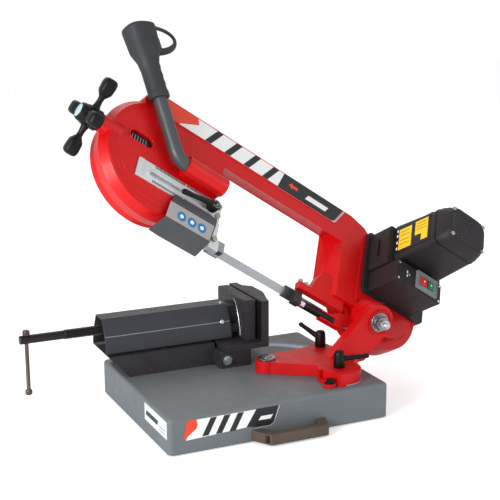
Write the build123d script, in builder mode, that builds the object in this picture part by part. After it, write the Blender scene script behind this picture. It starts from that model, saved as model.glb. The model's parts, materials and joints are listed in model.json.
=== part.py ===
from build123d import *

import os
from math import acos, cos, degrees, pi, radians, sin, sqrt, tan

# Bench band saw: a pivoting saw bow over a vise on a folded steel base.
#
# Frame: origin on the supporting surface under the middle of the base, +X along the length of the
# base towards the bow's pivot, +Y towards the vise side, +Z up.  Millimetres.
# The bow is drawn raised, in its own tilted plane: ALONG follows the blade towards the drive wheel,
# ACROSS lies in the bow's plane away from the blade, and OUT points to the motor side.
# A place in the bow is (s, h) in that plane and a depth d along OUT.

os.makedirs("parts", exist_ok=True)

# ---------------------------------------------------------------- driving dimensions
# base
BASE_LENGTH, BASE_DEPTH, BASE_TOP = 372, 310, 58
BASE_SHEET, BASE_FLANGE, FOOT_HEIGHT = 2, 26, 2
BENCH_SPACING_X, BENCH_SPACING_Y, BENCH_HOLE_R = 340, 278, 4.5

# vise
SCREW_Y, SCREW_Z, SCREW_R = 92, 130, 8
PLATE_TOP = 95
JAW_TOP = 164.5

# swivel
SWIVEL_X, BLADE_Y = 38, -18
ARM_BOTTOM, ARM_TOP = 58.5, 78
EAR_FRONT, EAR_BACK, EAR_R = -62, -44, 28
PIVOT_X, PIVOT_Z, PIVOT_R, SHAFT_END = 222, 129, 8, 27.2
SHAFT_PLAY = 0.06

# bow
RAISE, TILT = 33, 36
PIVOT_ABOVE_BLADE = 33
WHEEL_R, WHEEL_RISE = 77.5, 78
TENSION_S, DRIVE_S = -445, 30
BOW_FRONT, BOW_BACK, COVER_BACK, STEP, WHEEL_SPACE = 25, -10, -25, 12, 9
HOUSING_S, HOUSING_H = -449, 82
BEAM_LOW, BEAM_TOP = 133, 197
WALL = 4
BLADE_WIDTH, BLADE_THICKNESS = 13, 0.9
MODULE, GEAR_TEETH, PINION_TEETH = 2, 63, 15
GEAR_LOW, GEAR_HIGH = 11, 19
MOTOR_S = 50

# ---------------------------------------------------------------- directions and planes
ALONG = Vector(cos(radians(RAISE)), 0, -sin(radians(RAISE)))
UPRIGHT = Vector(sin(radians(RAISE)), 0, cos(radians(RAISE)))
OUT = Vector(0, -cos(radians(TILT)), 0) + UPRIGHT * sin(radians(TILT))
ACROSS = Vector(0, sin(radians(TILT)), 0) + UPRIGHT * cos(radians(TILT))
BLADE_FOOT = Vector(PIVOT_X, BLADE_Y, PIVOT_Z) - UPRIGHT * PIVOT_ABOVE_BLADE
GEAR_DISTANCE = MODULE * (GEAR_TEETH + PINION_TEETH) / 2
MOTOR_H = WHEEL_RISE + sqrt(GEAR_DISTANCE**2 - (MOTOR_S - DRIVE_S) ** 2)


def bow(d=0.0):
    """The plane parallel to the bow at depth d, with (s, h) as its own coordinates."""
    return Plane(origin=BLADE_FOOT + OUT * d, x_dir=ALONG, z_dir=OUT)


def at(s, h, d):
    """A point of the bow in the model's frame."""
    return BLADE_FOOT + ALONG * s + ACROSS * h + OUT * d


def along_bow(s, h, d, turn=0.0):
    """The plane square to the blade's run at a point: x is OUT, turned towards ACROSS by turn degrees."""
    x_dir = OUT * cos(radians(turn)) + ACROSS * sin(radians(turn))
    return Plane(origin=at(s, h, d), x_dir=x_dir, z_dir=ALONG * -1)


def front_plane(y):
    """A vertical plane at y facing the front: x is +X and y is +Z."""
    return Plane(origin=(0, y, 0), x_dir=(1, 0, 0), z_dir=(0, -1, 0))


def side_plane(x):
    """A vertical plane at x facing +X: x is +Y and y is +Z."""
    return Plane(origin=(x, 0, 0), x_dir=(0, 1, 0), z_dir=(1, 0, 0))


def slab(s0, s1, h0, h1, mode=Mode.ADD):
    """A rectangle in a bow sketch from two corners."""
    with Locations(((s0 + s1) / 2, (h0 + h1) / 2)):
        return Rectangle(s1 - s0, h1 - h0, mode=mode)


def box_between(low, high, mode=Mode.ADD):
    """A box between two corners in the model's frame."""
    with Locations(tuple((a + b) / 2 for a, b in zip(low, high))):
        return Box(*(b - a for a, b in zip(low, high)), mode=mode)


def save(piece, name):
    """Labels a finished sub-part and writes it as its own STEP file."""
    piece.part.label = name
    export_step(piece.part, f"parts/{name}.step")


# ---------------------------------------------------------------- base
with BuildPart() as base_tray:
    with BuildSketch(Plane.XY.offset(FOOT_HEIGHT)):
        RectangleRounded(BASE_LENGTH, BASE_DEPTH, 8)
    extrude(amount=BASE_TOP - FOOT_HEIGHT)
    fillet(base_tray.faces().sort_by(Axis.Z)[-1].edges(), 5)
    offset(amount=-BASE_SHEET, openings=base_tray.faces().sort_by(Axis.Z)[0])
    with BuildSketch(Plane.XY.offset(FOOT_HEIGHT)):
        RectangleRounded(BASE_LENGTH - 2, BASE_DEPTH - 2, 7)
        RectangleRounded(BASE_LENGTH - 2 * BASE_FLANGE, BASE_DEPTH - 2 * BASE_FLANGE, 4, mode=Mode.SUBTRACT)
    extrude(amount=BASE_SHEET)
    with Locations((0, 0, FOOT_HEIGHT + BASE_SHEET)):
        with GridLocations(BENCH_SPACING_X, BENCH_SPACING_Y, 2, 2):
            Hole(BENCH_HOLE_R, depth=BASE_SHEET * 2)
    with Locations((SWIVEL_X, BLADE_Y, BASE_TOP)):
        Hole(8, depth=6)
save(base_tray, "base_tray")

with BuildPart() as base_strip:
    with BuildSketch():
        RectangleRounded(BASE_LENGTH - 8, BASE_DEPTH - 8, 6)
        RectangleRounded(BASE_LENGTH - 48, BASE_DEPTH - 48, 4, mode=Mode.SUBTRACT)
        with GridLocations(BENCH_SPACING_X, BENCH_SPACING_Y, 2, 2):
            Circle(BENCH_HOLE_R, mode=Mode.SUBTRACT)
    extrude(amount=FOOT_HEIGHT)
save(base_strip, "base_strip")

HANDLE_LEFT, HANDLE_RIGHT, HANDLE_FRONT = -54, 72, -186
HANDLE_TAPER_LEFT, HANDLE_TAPER_RIGHT = 19, 9
HANDLE_LOW, HANDLE_HIGH, HANDLE_GRIP, HANDLE_LEG = 3, 20, 13, 17
with BuildPart() as carry_handle:
    with BuildSketch(Plane.XY.offset(HANDLE_LOW)):
        Polygon(
            (HANDLE_LEFT, -BASE_DEPTH / 2), (HANDLE_LEFT + HANDLE_TAPER_LEFT, HANDLE_FRONT),
            (HANDLE_RIGHT - HANDLE_TAPER_RIGHT, HANDLE_FRONT), (HANDLE_RIGHT, -BASE_DEPTH / 2), align=None,
        )
        Polygon(
            (HANDLE_LEFT + HANDLE_LEG, -BASE_DEPTH / 2 + 1),
            (HANDLE_LEFT + HANDLE_LEG + 11, HANDLE_FRONT + HANDLE_GRIP),
            (HANDLE_RIGHT - HANDLE_LEG - 5, HANDLE_FRONT + HANDLE_GRIP),
            (HANDLE_RIGHT - HANDLE_LEG, -BASE_DEPTH / 2 + 1), align=None, mode=Mode.SUBTRACT,
        )
    extrude(amount=HANDLE_HIGH - HANDLE_LOW)
    fillet(carry_handle.edges().filter_by(Axis.Z).group_by(Axis.Y)[0], 5)
    # the grip is a hollow section, open at its left end
    box_between(
        (HANDLE_LEFT, HANDLE_FRONT + 3, HANDLE_LOW + 3),
        (HANDLE_RIGHT - HANDLE_LEG - 6, HANDLE_FRONT + HANDLE_GRIP - 3, HANDLE_HIGH - 3),
        Mode.SUBTRACT,
    )
save(carry_handle, "carry_handle")

# ---------------------------------------------------------------- vise
BED_FRONT, BED_REAR = SCREW_Y - 44, SCREW_Y + 44
CHANNEL_HALF, CHANNEL_FLOOR = 19, 66
with BuildPart() as vise_bed:
    with BuildSketch(front_plane(BED_FRONT)):
        Polygon((-175, BASE_TOP), (-26, BASE_TOP), (-26, PLATE_TOP), (-208, PLATE_TOP), align=None)
    extrude(amount=BED_FRONT - BED_REAR)
    box_between((-27, 21, BASE_TOP), (29, 163, 86))
    box_between((-19, 19, 86), (52, 165, PLATE_TOP))
    fillet(vise_bed.edges().filter_by(Axis.Z).filter_by(lambda e: e.center().X > 20), 3)
    # fixed jaw casting, curved and thicker behind the screw
    with BuildSketch(Plane.XY.offset(86)):
        Polygon(
            (47.5, 19), (60, 19), (64, 36), (76, 74), (76, 118), (63, 132), (61, 153), (47.5, 153),
            align=None,
        )
    extrude(amount=JAW_TOP - 86)
    box_between((46, 21.5, PLATE_TOP + 1), (50.6, 150.5, JAW_TOP - 1), Mode.SUBTRACT)
    # channel for the moving jaw's tongue
    box_between(
        (-220, SCREW_Y - CHANNEL_HALF, CHANNEL_FLOOR), (46.8, SCREW_Y + CHANNEL_HALF, 99), Mode.SUBTRACT,
    )
    # seats of the two side screws
    for side in (-1, 1):
        with BuildSketch(front_plane(SCREW_Y + side * 71.1)):
            with Locations((-15, 72)):
                Circle(3)
        extrude(amount=side * 12, mode=Mode.SUBTRACT)
save(vise_bed, "vise_bed")

with BuildPart() as fixed_jaw_plate:
    box_between((46.6, 21.8, PLATE_TOP + 1.3), (50.6, 150.2, JAW_TOP - 1))
    for z in range(102, 162, 6):
        box_between((46, 21, z), (47.2, 151, z + 1.4), Mode.SUBTRACT)
save(fixed_jaw_plate, "fixed_jaw_plate")

with BuildPart() as vise_screws:
    with BuildSketch(front_plane(21)):
        with Locations((-15, 72)):
            Circle(8)
    extrude(amount=2)
    with BuildSketch(front_plane(19)):
        with Locations((-15, 72)):
            Circle(5)
            RegularPolygon(2.2, 6, mode=Mode.SUBTRACT)
    extrude(amount=4.5)
    with BuildSketch(front_plane(19)):
        with Locations((-15, 72)):
            Circle(2.9)
    extrude(amount=-13)
    for x in (-150, -50):
        for y in (BED_FRONT + 12, BED_REAR - 12):
            box_between((x - 5, y - 5, BASE_TOP - BASE_SHEET - 6), (x + 5, y + 5, BASE_TOP - BASE_SHEET))
save(vise_screws, "vise_screws")

NUT_LEFT, NUT_RIGHT = -196, -168
with BuildPart() as vise_nut:
    box_between((NUT_LEFT, SCREW_Y - 13, CHANNEL_FLOOR), (NUT_RIGHT, SCREW_Y + 13, 143))
    fillet(vise_nut.edges().filter_by(Axis.X).group_by(Axis.Z)[-1], 6)
    box_between((NUT_LEFT - 1, SCREW_Y - 18, CHANNEL_FLOOR - 1), (-181, SCREW_Y + 18, 82), Mode.SUBTRACT)
    with Locations(side_plane(NUT_RIGHT)):
        with Locations((SCREW_Y, SCREW_Z)):
            Hole(SCREW_R + SHAFT_PLAY)
save(vise_nut, "vise_nut")

JAW_LEFT, JAW_RIGHT = 25, 42
with BuildPart() as moving_jaw:
    box_between((JAW_LEFT, 35, PLATE_TOP + 0.5), (JAW_RIGHT, 150, JAW_TOP - 0.5))
    fillet(moving_jaw.edges().filter_by(Axis.X).group_by(Axis.Z)[-1], 4)
    # tongue in the channel and the screw's thrust block behind the jaw
    box_between((-20, SCREW_Y - 18.5, CHANNEL_FLOOR + 0.5), (JAW_RIGHT, SCREW_Y + 18.5, PLATE_TOP + 1))
    box_between((4, SCREW_Y - 16, PLATE_TOP), (JAW_LEFT, SCREW_Y + 16, 148))
    with Locations(side_plane(JAW_LEFT)):
        with Locations((SCREW_Y, SCREW_Z)):
            Hole(SCREW_R + SHAFT_PLAY, depth=30)
    # side ears that the screw cover is fixed to
    box_between((8, SCREW_Y - 27, 104), (JAW_LEFT, SCREW_Y + 27, 118))
save(moving_jaw, "moving_jaw")

with BuildPart() as moving_jaw_plate:
    box_between((JAW_RIGHT, 38, PLATE_TOP + 2), (JAW_RIGHT + 4, 147, JAW_TOP - 2))
    for z in range(102, 162, 6):
        box_between((JAW_RIGHT + 3.4, 37, z), (JAW_RIGHT + 5, 148, z + 1.4), Mode.SUBTRACT)
save(moving_jaw_plate, "moving_jaw_plate")

COVER_LEFT, COVER_RIGHT, COVER_SHEET = -210, 9, 1.6
with BuildPart() as screw_cover:
    with BuildSketch(side_plane(COVER_LEFT)):
        with Locations((SCREW_Y, 0)):
            Polygon(
                (-36, 98), (-36, 104), (-30, 125), (-16, 152), (16, 152), (30, 125), (36, 104), (36, 98),
                align=None,
            )
            inner = 1.18 * COVER_SHEET
            Polygon(
                (-36 + inner, 97), (-36 + inner, 104), (-30 + inner, 124.6), (-15, 152 - COVER_SHEET),
                (15, 152 - COVER_SHEET), (30 - inner, 124.6), (36 - inner, 104), (36 - inner, 97),
                align=None, mode=Mode.SUBTRACT,
            )
    extrude(amount=COVER_RIGHT - COVER_LEFT)
save(screw_cover, "screw_cover")

SLEEVE_LEFT, SLEEVE_RIGHT, TEE_X = -340, -251, -329
with BuildPart() as vise_screw:
    with BuildSketch(side_plane(SLEEVE_RIGHT)):
        with Locations((SCREW_Y, SCREW_Z)):
            Circle(SCREW_R)
    extrude(amount=12 - SLEEVE_RIGHT)
    with BuildSketch(side_plane(SLEEVE_LEFT)):
        with Locations((SCREW_Y, SCREW_Z)):
            Circle(7)
    extrude(amount=SLEEVE_RIGHT - SLEEVE_LEFT)
    with Locations(Location((TEE_X, SCREW_Y, SCREW_Z))):
        Cylinder(3.3, 30, mode=Mode.SUBTRACT)
save(vise_screw, "vise_screw")

TEE_TOP, TEE_BOTTOM = 139.2, 45
with BuildPart() as tee_bar:
    with BuildSketch(Plane.XY.offset(TEE_BOTTOM)):
        with Locations((TEE_X, SCREW_Y)):
            Circle(3.25 - SHAFT_PLAY)
    extrude(amount=TEE_TOP - TEE_BOTTOM)
    for z in (TEE_BOTTOM - 6, TEE_TOP - 2):
        with BuildSketch(Plane.XY.offset(z)):
            with Locations((TEE_X, SCREW_Y)):
                Circle(5.5)
        extrude(amount=8)
save(tee_bar, "tee_bar")

# ---------------------------------------------------------------- swivel arm and its clamps
FRONT_LEVER, REAR_LEVER = (124, -105), (149, 4)
STOP_PLACE = (93, -131)
with BuildPart() as swivel_arm:
    with BuildSketch(Plane.XY.offset(ARM_BOTTOM)):
        with Locations((SWIVEL_X, BLADE_Y)):
            Circle(19)
        Polygon(
            (36, -37), (104, -84), (104, -140), (124, -140), (159, -110), (159, -91), (182, -66),
            (182, -40), (165, 6), (150, 21), (132, 12), (40, 1), align=None,
        )
        with Locations(REAR_LEVER):
            Circle(17)
        with Locations(FRONT_LEVER):
            Circle(35)
        with Locations(STOP_PLACE):
            Circle(10)
    extrude(amount=ARM_TOP - ARM_BOTTOM)
    # lower deck of the front lug, under the stop screw
    with BuildSketch(Plane.XY.offset(ARM_TOP)):
        with Locations((88, -126)):
            Rectangle(32, 40, rotation=20)
    extrude(amount=ARM_BOTTOM + 6 - ARM_TOP, mode=Mode.SUBTRACT)
    # ear that carries the bow's pivot
    with BuildSketch(front_plane(EAR_FRONT)):
        with Locations((PIVOT_X, PIVOT_Z)):
            Circle(EAR_R)
        Polygon(
            (131, ARM_BOTTOM + 6), (182, ARM_BOTTOM + 6), (196, 66), (242, 109), (222, 129), (202, 149),
            (131, 78), align=None,
        )
    extrude(amount=EAR_FRONT - EAR_BACK)
    # pocket for the return spring in the ear's inner face
    with BuildSketch(front_plane(EAR_BACK)):
        with Locations((PIVOT_X, PIVOT_Z)):
            Circle(EAR_R - 2)
            Circle(EAR_R - 8, mode=Mode.SUBTRACT)
    extrude(amount=12, mode=Mode.SUBTRACT)
    with BuildSketch(front_plane(EAR_FRONT)):
        with Locations((PIVOT_X, PIVOT_Z)):
            Circle(19)
    extrude(amount=2)
    with BuildSketch(front_plane(EAR_FRONT - 5)):
        with Locations((PIVOT_X, PIVOT_Z)):
            Circle(PIVOT_R + SHAFT_PLAY)
    extrude(amount=-30, mode=Mode.SUBTRACT)
    # bores for the swivel pin and the two clamp studs
    with Locations((SWIVEL_X, BLADE_Y, ARM_TOP)):
        Hole(7.5 + SHAFT_PLAY, depth=30)
    for place in (FRONT_LEVER, REAR_LEVER):
        with Locations((*place, ARM_TOP)):
            Hole(5 + SHAFT_PLAY, depth=30)
    with Locations((*STOP_PLACE, ARM_TOP)):
        Hole(3, depth=30)
save(swivel_arm, "swivel_arm")

with BuildPart() as swivel_pin:
    with BuildSketch(Plane.XY.offset(BASE_TOP - 14)):
        with Locations((SWIVEL_X, BLADE_Y)):
            Circle(7.5)
    extrude(amount=ARM_TOP + 0.4 - BASE_TOP + 14)
    with BuildSketch(Plane.XY.offset(ARM_TOP + 0.4)):
        with Locations((SWIVEL_X, BLADE_Y)):
            Circle(15)
    extrude(amount=2.6)
    with BuildSketch(Plane.XY.offset(ARM_TOP + 3)):
        with Locations((SWIVEL_X, BLADE_Y)):
            Circle(6.5)
            RegularPolygon(3, 6, mode=Mode.SUBTRACT)
    extrude(amount=-1.2, mode=Mode.SUBTRACT)
    with BuildSketch(Plane.XY.offset(BASE_TOP - BASE_SHEET - 9)):
        with Locations((SWIVEL_X, BLADE_Y)):
            RegularPolygon(12, 6)
    extrude(amount=9)
save(swivel_pin, "swivel_pin")

with BuildPart() as stop_screw:
    with BuildSketch(Plane.XY.offset(ARM_BOTTOM + 6)):
        with Locations(STOP_PLACE):
            Circle(8.5)
    extrude(amount=1.5)
    with BuildSketch(Plane.XY.offset(ARM_BOTTOM + 7.5)):
        with Locations(STOP_PLACE):
            RegularPolygon(6, 6)
    extrude(amount=6)
    with BuildSketch(Plane.XY.offset(ARM_BOTTOM)):
        with Locations(STOP_PLACE):
            Circle(2.95)
    extrude(amount=8)
save(stop_screw, "stop_screw")


def clamp_lever(place, heading, rise, name):
    """A clamp lever on the swivel arm, its arm pointing at heading and rising by rise degrees."""
    x, y = place
    heading, rise, reach, arm_z = radians(heading), radians(rise), 46, ARM_TOP + 14
    along_arm = Vector(cos(heading) * cos(rise), sin(heading) * cos(rise), sin(rise))
    with BuildPart() as lever:
        with BuildSketch(Plane.XY.offset(ARM_BOTTOM + 0.5)):
            with Locations(place):
                Circle(5)
        extrude(amount=ARM_TOP - ARM_BOTTOM)
        with BuildSketch(Plane.XY.offset(ARM_TOP + 0.3)):
            with Locations(place):
                Circle(9)
        extrude(amount=27, taper=3)
        with BuildSketch(Plane(origin=(x, y, arm_z), z_dir=along_arm)):
            Circle(5)
        extrude(amount=reach, taper=1)
        with Locations(Vector(x, y, arm_z) + along_arm * reach):
            Sphere(4.2)
    save(lever, name)


clamp_lever(FRONT_LEVER, -15, 3, "front_clamp_lever")
clamp_lever(REAR_LEVER, 112, 20, "rear_clamp_lever")

with BuildPart() as return_spring:
    with BuildSketch(front_plane(EAR_BACK - 0.5)):
        with Locations((PIVOT_X, PIVOT_Z)):
            Circle(EAR_R - 3)
            Circle(EAR_R - 6.5, mode=Mode.SUBTRACT)
    extrude(amount=11)
    for turn in range(3):
        with BuildSketch(front_plane(EAR_BACK - 3.3 - turn * 3)):
            with Locations((PIVOT_X, PIVOT_Z)):
                Circle(EAR_R - 2)
                Circle(EAR_R - 3.9, mode=Mode.SUBTRACT)
        extrude(amount=0.6, mode=Mode.SUBTRACT)
save(return_spring, "return_spring")

# ---------------------------------------------------------------- bow casting and its cover
TENSION_H, TENSION_D = 90, 15
ARM_S0, ARM_S1, ARM_H0, ARM_H1 = -485, -325, 31, 64
TRACK, TRACK_BACK = (ARM_S0 - 7, -335, ARM_H0 - 5, ARM_H1 + 5), 15
TUBE_H, TUBE_D, TUBE_R = 84, 41.6, 11
LOCK_S, LOCK_H, STUD_R = -345, 48, 3.7
BAR_H, BAR_D, BAR_R = -12.5, 10, 6.5
PAD = (-22, 118, 63, 181)
RETURN_RUN = (TENSION_S, DRIVE_S, 153.5, BEAM_TOP - WALL)
BLADE_SLOTS = ((-412, -336), (-118, 4))
# depth, s of the post's inner side and h of the beam's underside
THROAT = ((BOW_FRONT + 0.5, -72, 135), (8, -90, 148), (BOW_BACK - 4, -96, 151.5))


def bow_outline(tension_radius, drive_radius):
    """The bow's silhouette: tension housing, beam, post and drive housing around the throat."""
    with Locations((HOUSING_S, HOUSING_H)):
        Circle(tension_radius)
    Polygon(
        (-500, 172), (-489, BEAM_TOP), (-60, BEAM_TOP), (-27, 189), (20, 150), (20, 28), (-117, 28),
        (-122, BEAM_LOW), (-334, BEAM_LOW), (-339, 66), (-336, 28), (-445, 28), align=None,
    )
    with Locations((DRIVE_S, WHEEL_RISE)):
        Circle(drive_radius)


def wheel_circles(tension_radius, drive_radius):
    """The space that the two wheels take."""
    with Locations((TENSION_S, WHEEL_RISE)):
        Circle(tension_radius)
    with Locations((DRIVE_S, WHEEL_RISE)):
        Circle(drive_radius)


def open_throat():
    """Slopes the beam's underside and the post's inner side, so that the throat widens to the back."""
    sections = []
    for d, post, low in THROAT:
        with BuildSketch(bow(d)) as section:
            slab(-334, post, 20, low)
        sections.append(section.sketch.face())
    for pair in zip(sections, sections[1:]):
        loft(pair, ruled=True, mode=Mode.SUBTRACT)


with BuildPart() as bow_frame:
    with BuildSketch(bow(BOW_BACK)):
        bow_outline(97, 93)
    extrude(amount=STEP - BOW_BACK)
    with BuildSketch(bow(STEP)):
        bow_outline(94, 76)
        slab(*PAD)
    extrude(amount=BOW_FRONT - STEP)
    # the tension housing swells towards its edge and slopes in again to the front face
    swell, cone = (BOW_BACK, 97, STEP - BOW_BACK, -17), (STEP, 103.7, BOW_FRONT - STEP, 36)
    for d, radius, length, draft in (swell, cone):
        with BuildSketch(bow(d)):
            with Locations((HOUSING_S, HOUSING_H)):
                Circle(radius)
        extrude(amount=length, taper=draft)
    open_throat()
    # boss around the pivot shaft
    with BuildSketch(front_plane(EAR_BACK + 0.5)):
        with Locations((PIVOT_X, PIVOT_Z)):
            Circle(EAR_R + 1)
    extrude(amount=-24)
    # boss of the tension screw and sleeve of the handle's tube
    with BuildSketch(along_bow(-522, TENSION_H, TENSION_D)):
        Circle(14)
    extrude(amount=35)
    with BuildSketch(along_bow(-338, TUBE_H, TUBE_D)):
        Circle(15.5)
        with Locations(((BOW_FRONT - TUBE_D) / 2, 0)):
            Rectangle(TUBE_D - BOW_FRONT + 2, 25)
    extrude(amount=74)
    # guide arm track
    with BuildSketch(bow(TRACK_BACK)):
        slab(*TRACK)
    extrude(amount=BOW_FRONT - TRACK_BACK)
    with BuildSketch(bow(20)):
        slab(ARM_S0 - 2, -320, ARM_H0 - 0.4, ARM_H1 + 0.4)
    extrude(amount=10, mode=Mode.SUBTRACT)
    # hollows behind the front wall: for the wheels, the gears and the tension carriage
    with BuildSketch(bow(BOW_BACK - 1)):
        wheel_circles(89, 85)
        slab(*RETURN_RUN)
    extrude(amount=WHEEL_SPACE + 1 - BOW_BACK, mode=Mode.SUBTRACT)
    for d in (WHEEL_SPACE, TRACK_BACK):
        with BuildSketch(bow(d)):
            wheel_circles(89, 71)
            slab(*RETURN_RUN)
            with Locations((MOTOR_S, MOTOR_H)):
                Circle(22)
            if d == TRACK_BACK:
                slab(*TRACK, mode=Mode.SUBTRACT)
        extrude(amount=6, mode=Mode.SUBTRACT)
    # rails that guide the tension carriage
    for h0, h1 in ((WHEEL_RISE - 4, WHEEL_RISE - 0.2), (106.5, 110)):
        with BuildSketch(bow(10)):
            slab(-528, -408, h0, h1)
        extrude(amount=11.5)
    # slot where the blade leaves the tension housing and enters the drive housing
    for s0, s1 in BLADE_SLOTS:
        with BuildSketch(bow(-12)):
            slab(s0, s1, -9, 9)
        extrude(amount=21, mode=Mode.SUBTRACT)
    # bores: tension screw, handle tube, pivot shaft, drive bearing and motor pinion
    with BuildSketch(along_bow(-480, TENSION_H, TENSION_D)):
        Circle(5)
    extrude(amount=90, mode=Mode.SUBTRACT)
    with BuildSketch(along_bow(-345, TUBE_H, TUBE_D)):
        Circle(TUBE_R)
    extrude(amount=80, mode=Mode.SUBTRACT)
    with BuildSketch(front_plane(-50)):
        with Locations((PIVOT_X, PIVOT_Z)):
            Circle(PIVOT_R)
    extrude(amount=-23, mode=Mode.SUBTRACT)
    with BuildSketch(bow(20)):
        with Locations((DRIVE_S, WHEEL_RISE)):
            Circle(16)
        with Locations((MOTOR_S, MOTOR_H)):
            Circle(PINION_TEETH + 4)
    extrude(amount=8, mode=Mode.SUBTRACT)
    # bore of the guide lock's stud
    with BuildSketch(bow(15)):
        with Locations((LOCK_S, LOCK_H)):
            Circle(STUD_R + SHAFT_PLAY)
    extrude(amount=6, mode=Mode.SUBTRACT)
    # window over the tension spring
    with BuildSketch(bow(14)):
        with Locations((-488, 97)):
            SlotOverall(42, 18)
    extrude(amount=14, mode=Mode.SUBTRACT)
    # guide bracket: upper arm and lower block beside the blade
    with BuildSketch(bow(7.5)):
        Polygon((-146, 8), (-146, 20), (-122, 20), (-112, 44), (-100, 60), (-50, 60), (-50, 8), align=None)
    extrude(amount=12)
    with BuildSketch(bow(3)):
        slab(-90, -46, -20, -4)
    extrude(amount=10.5)
    with BuildSketch(bow(7.5)):
        Polygon((-74, -8), (-50, 10), (-20, 10), (-26, -6), (-46, -18), align=None)
    extrude(amount=6)
    with BuildSketch(along_bow(-60, BAR_H, BAR_D)):
        Circle(BAR_R)
    extrude(amount=60, mode=Mode.SUBTRACT)
save(bow_frame, "bow_frame")

with BuildPart() as rear_cover:
    with BuildSketch(bow(BOW_BACK - 3)):
        bow_outline(95, 92)
    extrude(amount=2.5)
    open_throat()
    with BuildSketch(bow(COVER_BACK)):
        with Locations((HOUSING_S, HOUSING_H)):
            Circle(95)
        with Locations((DRIVE_S, WHEEL_RISE)):
            Circle(92)
    extrude(amount=BOW_BACK - 0.5 - COVER_BACK)
    with BuildSketch(bow(COVER_BACK + 2.5)):
        wheel_circles(87, 85)
    extrude(amount=14, mode=Mode.SUBTRACT)
    for s0, s1 in BLADE_SLOTS:
        with BuildSketch(bow(COVER_BACK + 2.5)):
            slab(s0, s1, -9, 9)
        extrude(amount=21, mode=Mode.SUBTRACT)
save(rear_cover, "rear_cover")

COVER_SCREWS = (
    (-516, 136, COVER_BACK), (-530, 44, COVER_BACK), (90, 14, COVER_BACK),
    (-300, BEAM_TOP - 6, BOW_BACK - 3), (-130, BEAM_TOP - 6, BOW_BACK - 3), (-86, 40, BOW_BACK - 3),
)

with BuildPart() as drive_bearings:
    for d in (21, 26.5):
        with BuildSketch(bow(d)):
            with Locations((DRIVE_S, WHEEL_RISE)):
                Circle(16)
                Circle(PIVOT_R + SHAFT_PLAY, mode=Mode.SUBTRACT)
        extrude(amount=5)
save(drive_bearings, "drive_bearings")

# ---------------------------------------------------------------- gear housing, motor and controls
HOUSING_FRONT, MOTOR_CAP, MOTOR_END, BOX_FRONT = 77, 168, 197, 100
with BuildPart() as gear_housing:
    with BuildSketch(bow(BOW_FRONT + 0.2)):
        with Locations((50, 122.5)):
            RectangleRounded(144, 121, 8)
    extrude(amount=7)
    with BuildSketch(bow(BOW_FRONT + 7)):
        with Locations((49, 143.5)):
            RectangleRounded(128, 75, 7)
    extrude(amount=HOUSING_FRONT - BOW_FRONT - 7)
    with BuildSketch(bow(BOW_FRONT)):
        with Locations((49, 143.5)):
            RectangleRounded(122, 69, 5)
    extrude(amount=HOUSING_FRONT - BOW_FRONT - 3, mode=Mode.SUBTRACT)
    with BuildSketch(bow(HOUSING_FRONT - 4)):
        with Locations((MOTOR_S, MOTOR_H)):
            Circle(30)
    extrude(amount=6, mode=Mode.SUBTRACT)
    with BuildSketch(bow(BOW_FRONT)):
        with Locations((DRIVE_S, WHEEL_RISE)):
            Circle(16.2)
    extrude(amount=9, mode=Mode.SUBTRACT)
    # vent slot in the side
    with BuildSketch(bow(52)):
        slab(-20, -10, 125, 160)
    extrude(amount=4, mode=Mode.SUBTRACT)
save(gear_housing, "gear_housing")

MOTOR_CENTRE = (50, 152)
with BuildPart() as motor_housing:
    with BuildSketch(bow(HOUSING_FRONT)):
        with Locations(MOTOR_CENTRE):
            RectangleRounded(102, 76, 12)
    with BuildSketch(bow(MOTOR_CAP)):
        with Locations(MOTOR_CENTRE):
            RectangleRounded(94, 70, 14)
    loft()
    with BuildSketch(bow(HOUSING_FRONT - 1)):
        with Locations(MOTOR_CENTRE):
            RectangleRounded(86, 66, 10)
    extrude(amount=MOTOR_CAP - HOUSING_FRONT + 2, mode=Mode.SUBTRACT)
save(motor_housing, "motor_housing")

with BuildPart() as motor_end_cap:
    with BuildSketch(bow(MOTOR_CAP)):
        with Locations(MOTOR_CENTRE):
            RectangleRounded(94, 70, 14)
    with BuildSketch(bow(MOTOR_END)):
        with Locations(MOTOR_CENTRE):
            RectangleRounded(80, 62, 20)
    loft()
    with BuildSketch(bow(MOTOR_CAP - 1)):
        with Locations(MOTOR_CENTRE):
            RectangleRounded(72, 56, 16)
    extrude(amount=MOTOR_END - MOTOR_CAP - 3, mode=Mode.SUBTRACT)
    with BuildSketch(bow(MOTOR_END - 5)):
        with Locations(MOTOR_CENTRE):
            with GridLocations(60, 7, 1, 6):
                SlotOverall(58, 3)
    extrude(amount=8, mode=Mode.SUBTRACT)
save(motor_end_cap, "motor_end_cap")

with BuildPart() as motor_stator:
    with BuildSketch(bow(100)):
        with Locations((MOTOR_S, MOTOR_H)):
            Circle(31)
            Circle(19.5, mode=Mode.SUBTRACT)
    extrude(amount=58)
    with BuildSketch(bow(100)):
        with Locations(MOTOR_CENTRE):
            Rectangle(86, 8)
        with Locations((MOTOR_S, MOTOR_H)):
            Circle(25, mode=Mode.SUBTRACT)
    extrude(amount=10)
save(motor_stator, "motor_stator")

with BuildPart() as control_box:
    with BuildSketch(bow(BOW_FRONT + 7.2)):
        slab(-11, 94, 64, 104)
    extrude(amount=BOX_FRONT - BOW_FRONT - 7.2)
    fillet(control_box.edges().filter_by(Axis(at(0, 0, 0), OUT)), 4)
    with BuildSketch(bow(BOW_FRONT + 7)):
        slab(-8, 91, 67, 101)
    extrude(amount=BOX_FRONT - BOW_FRONT - 10, mode=Mode.SUBTRACT)
    with BuildSketch(bow(BOX_FRONT - 4)):
        slab(40, 72, 76, 94)
    extrude(amount=6, mode=Mode.SUBTRACT)
save(control_box, "control_box")

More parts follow.
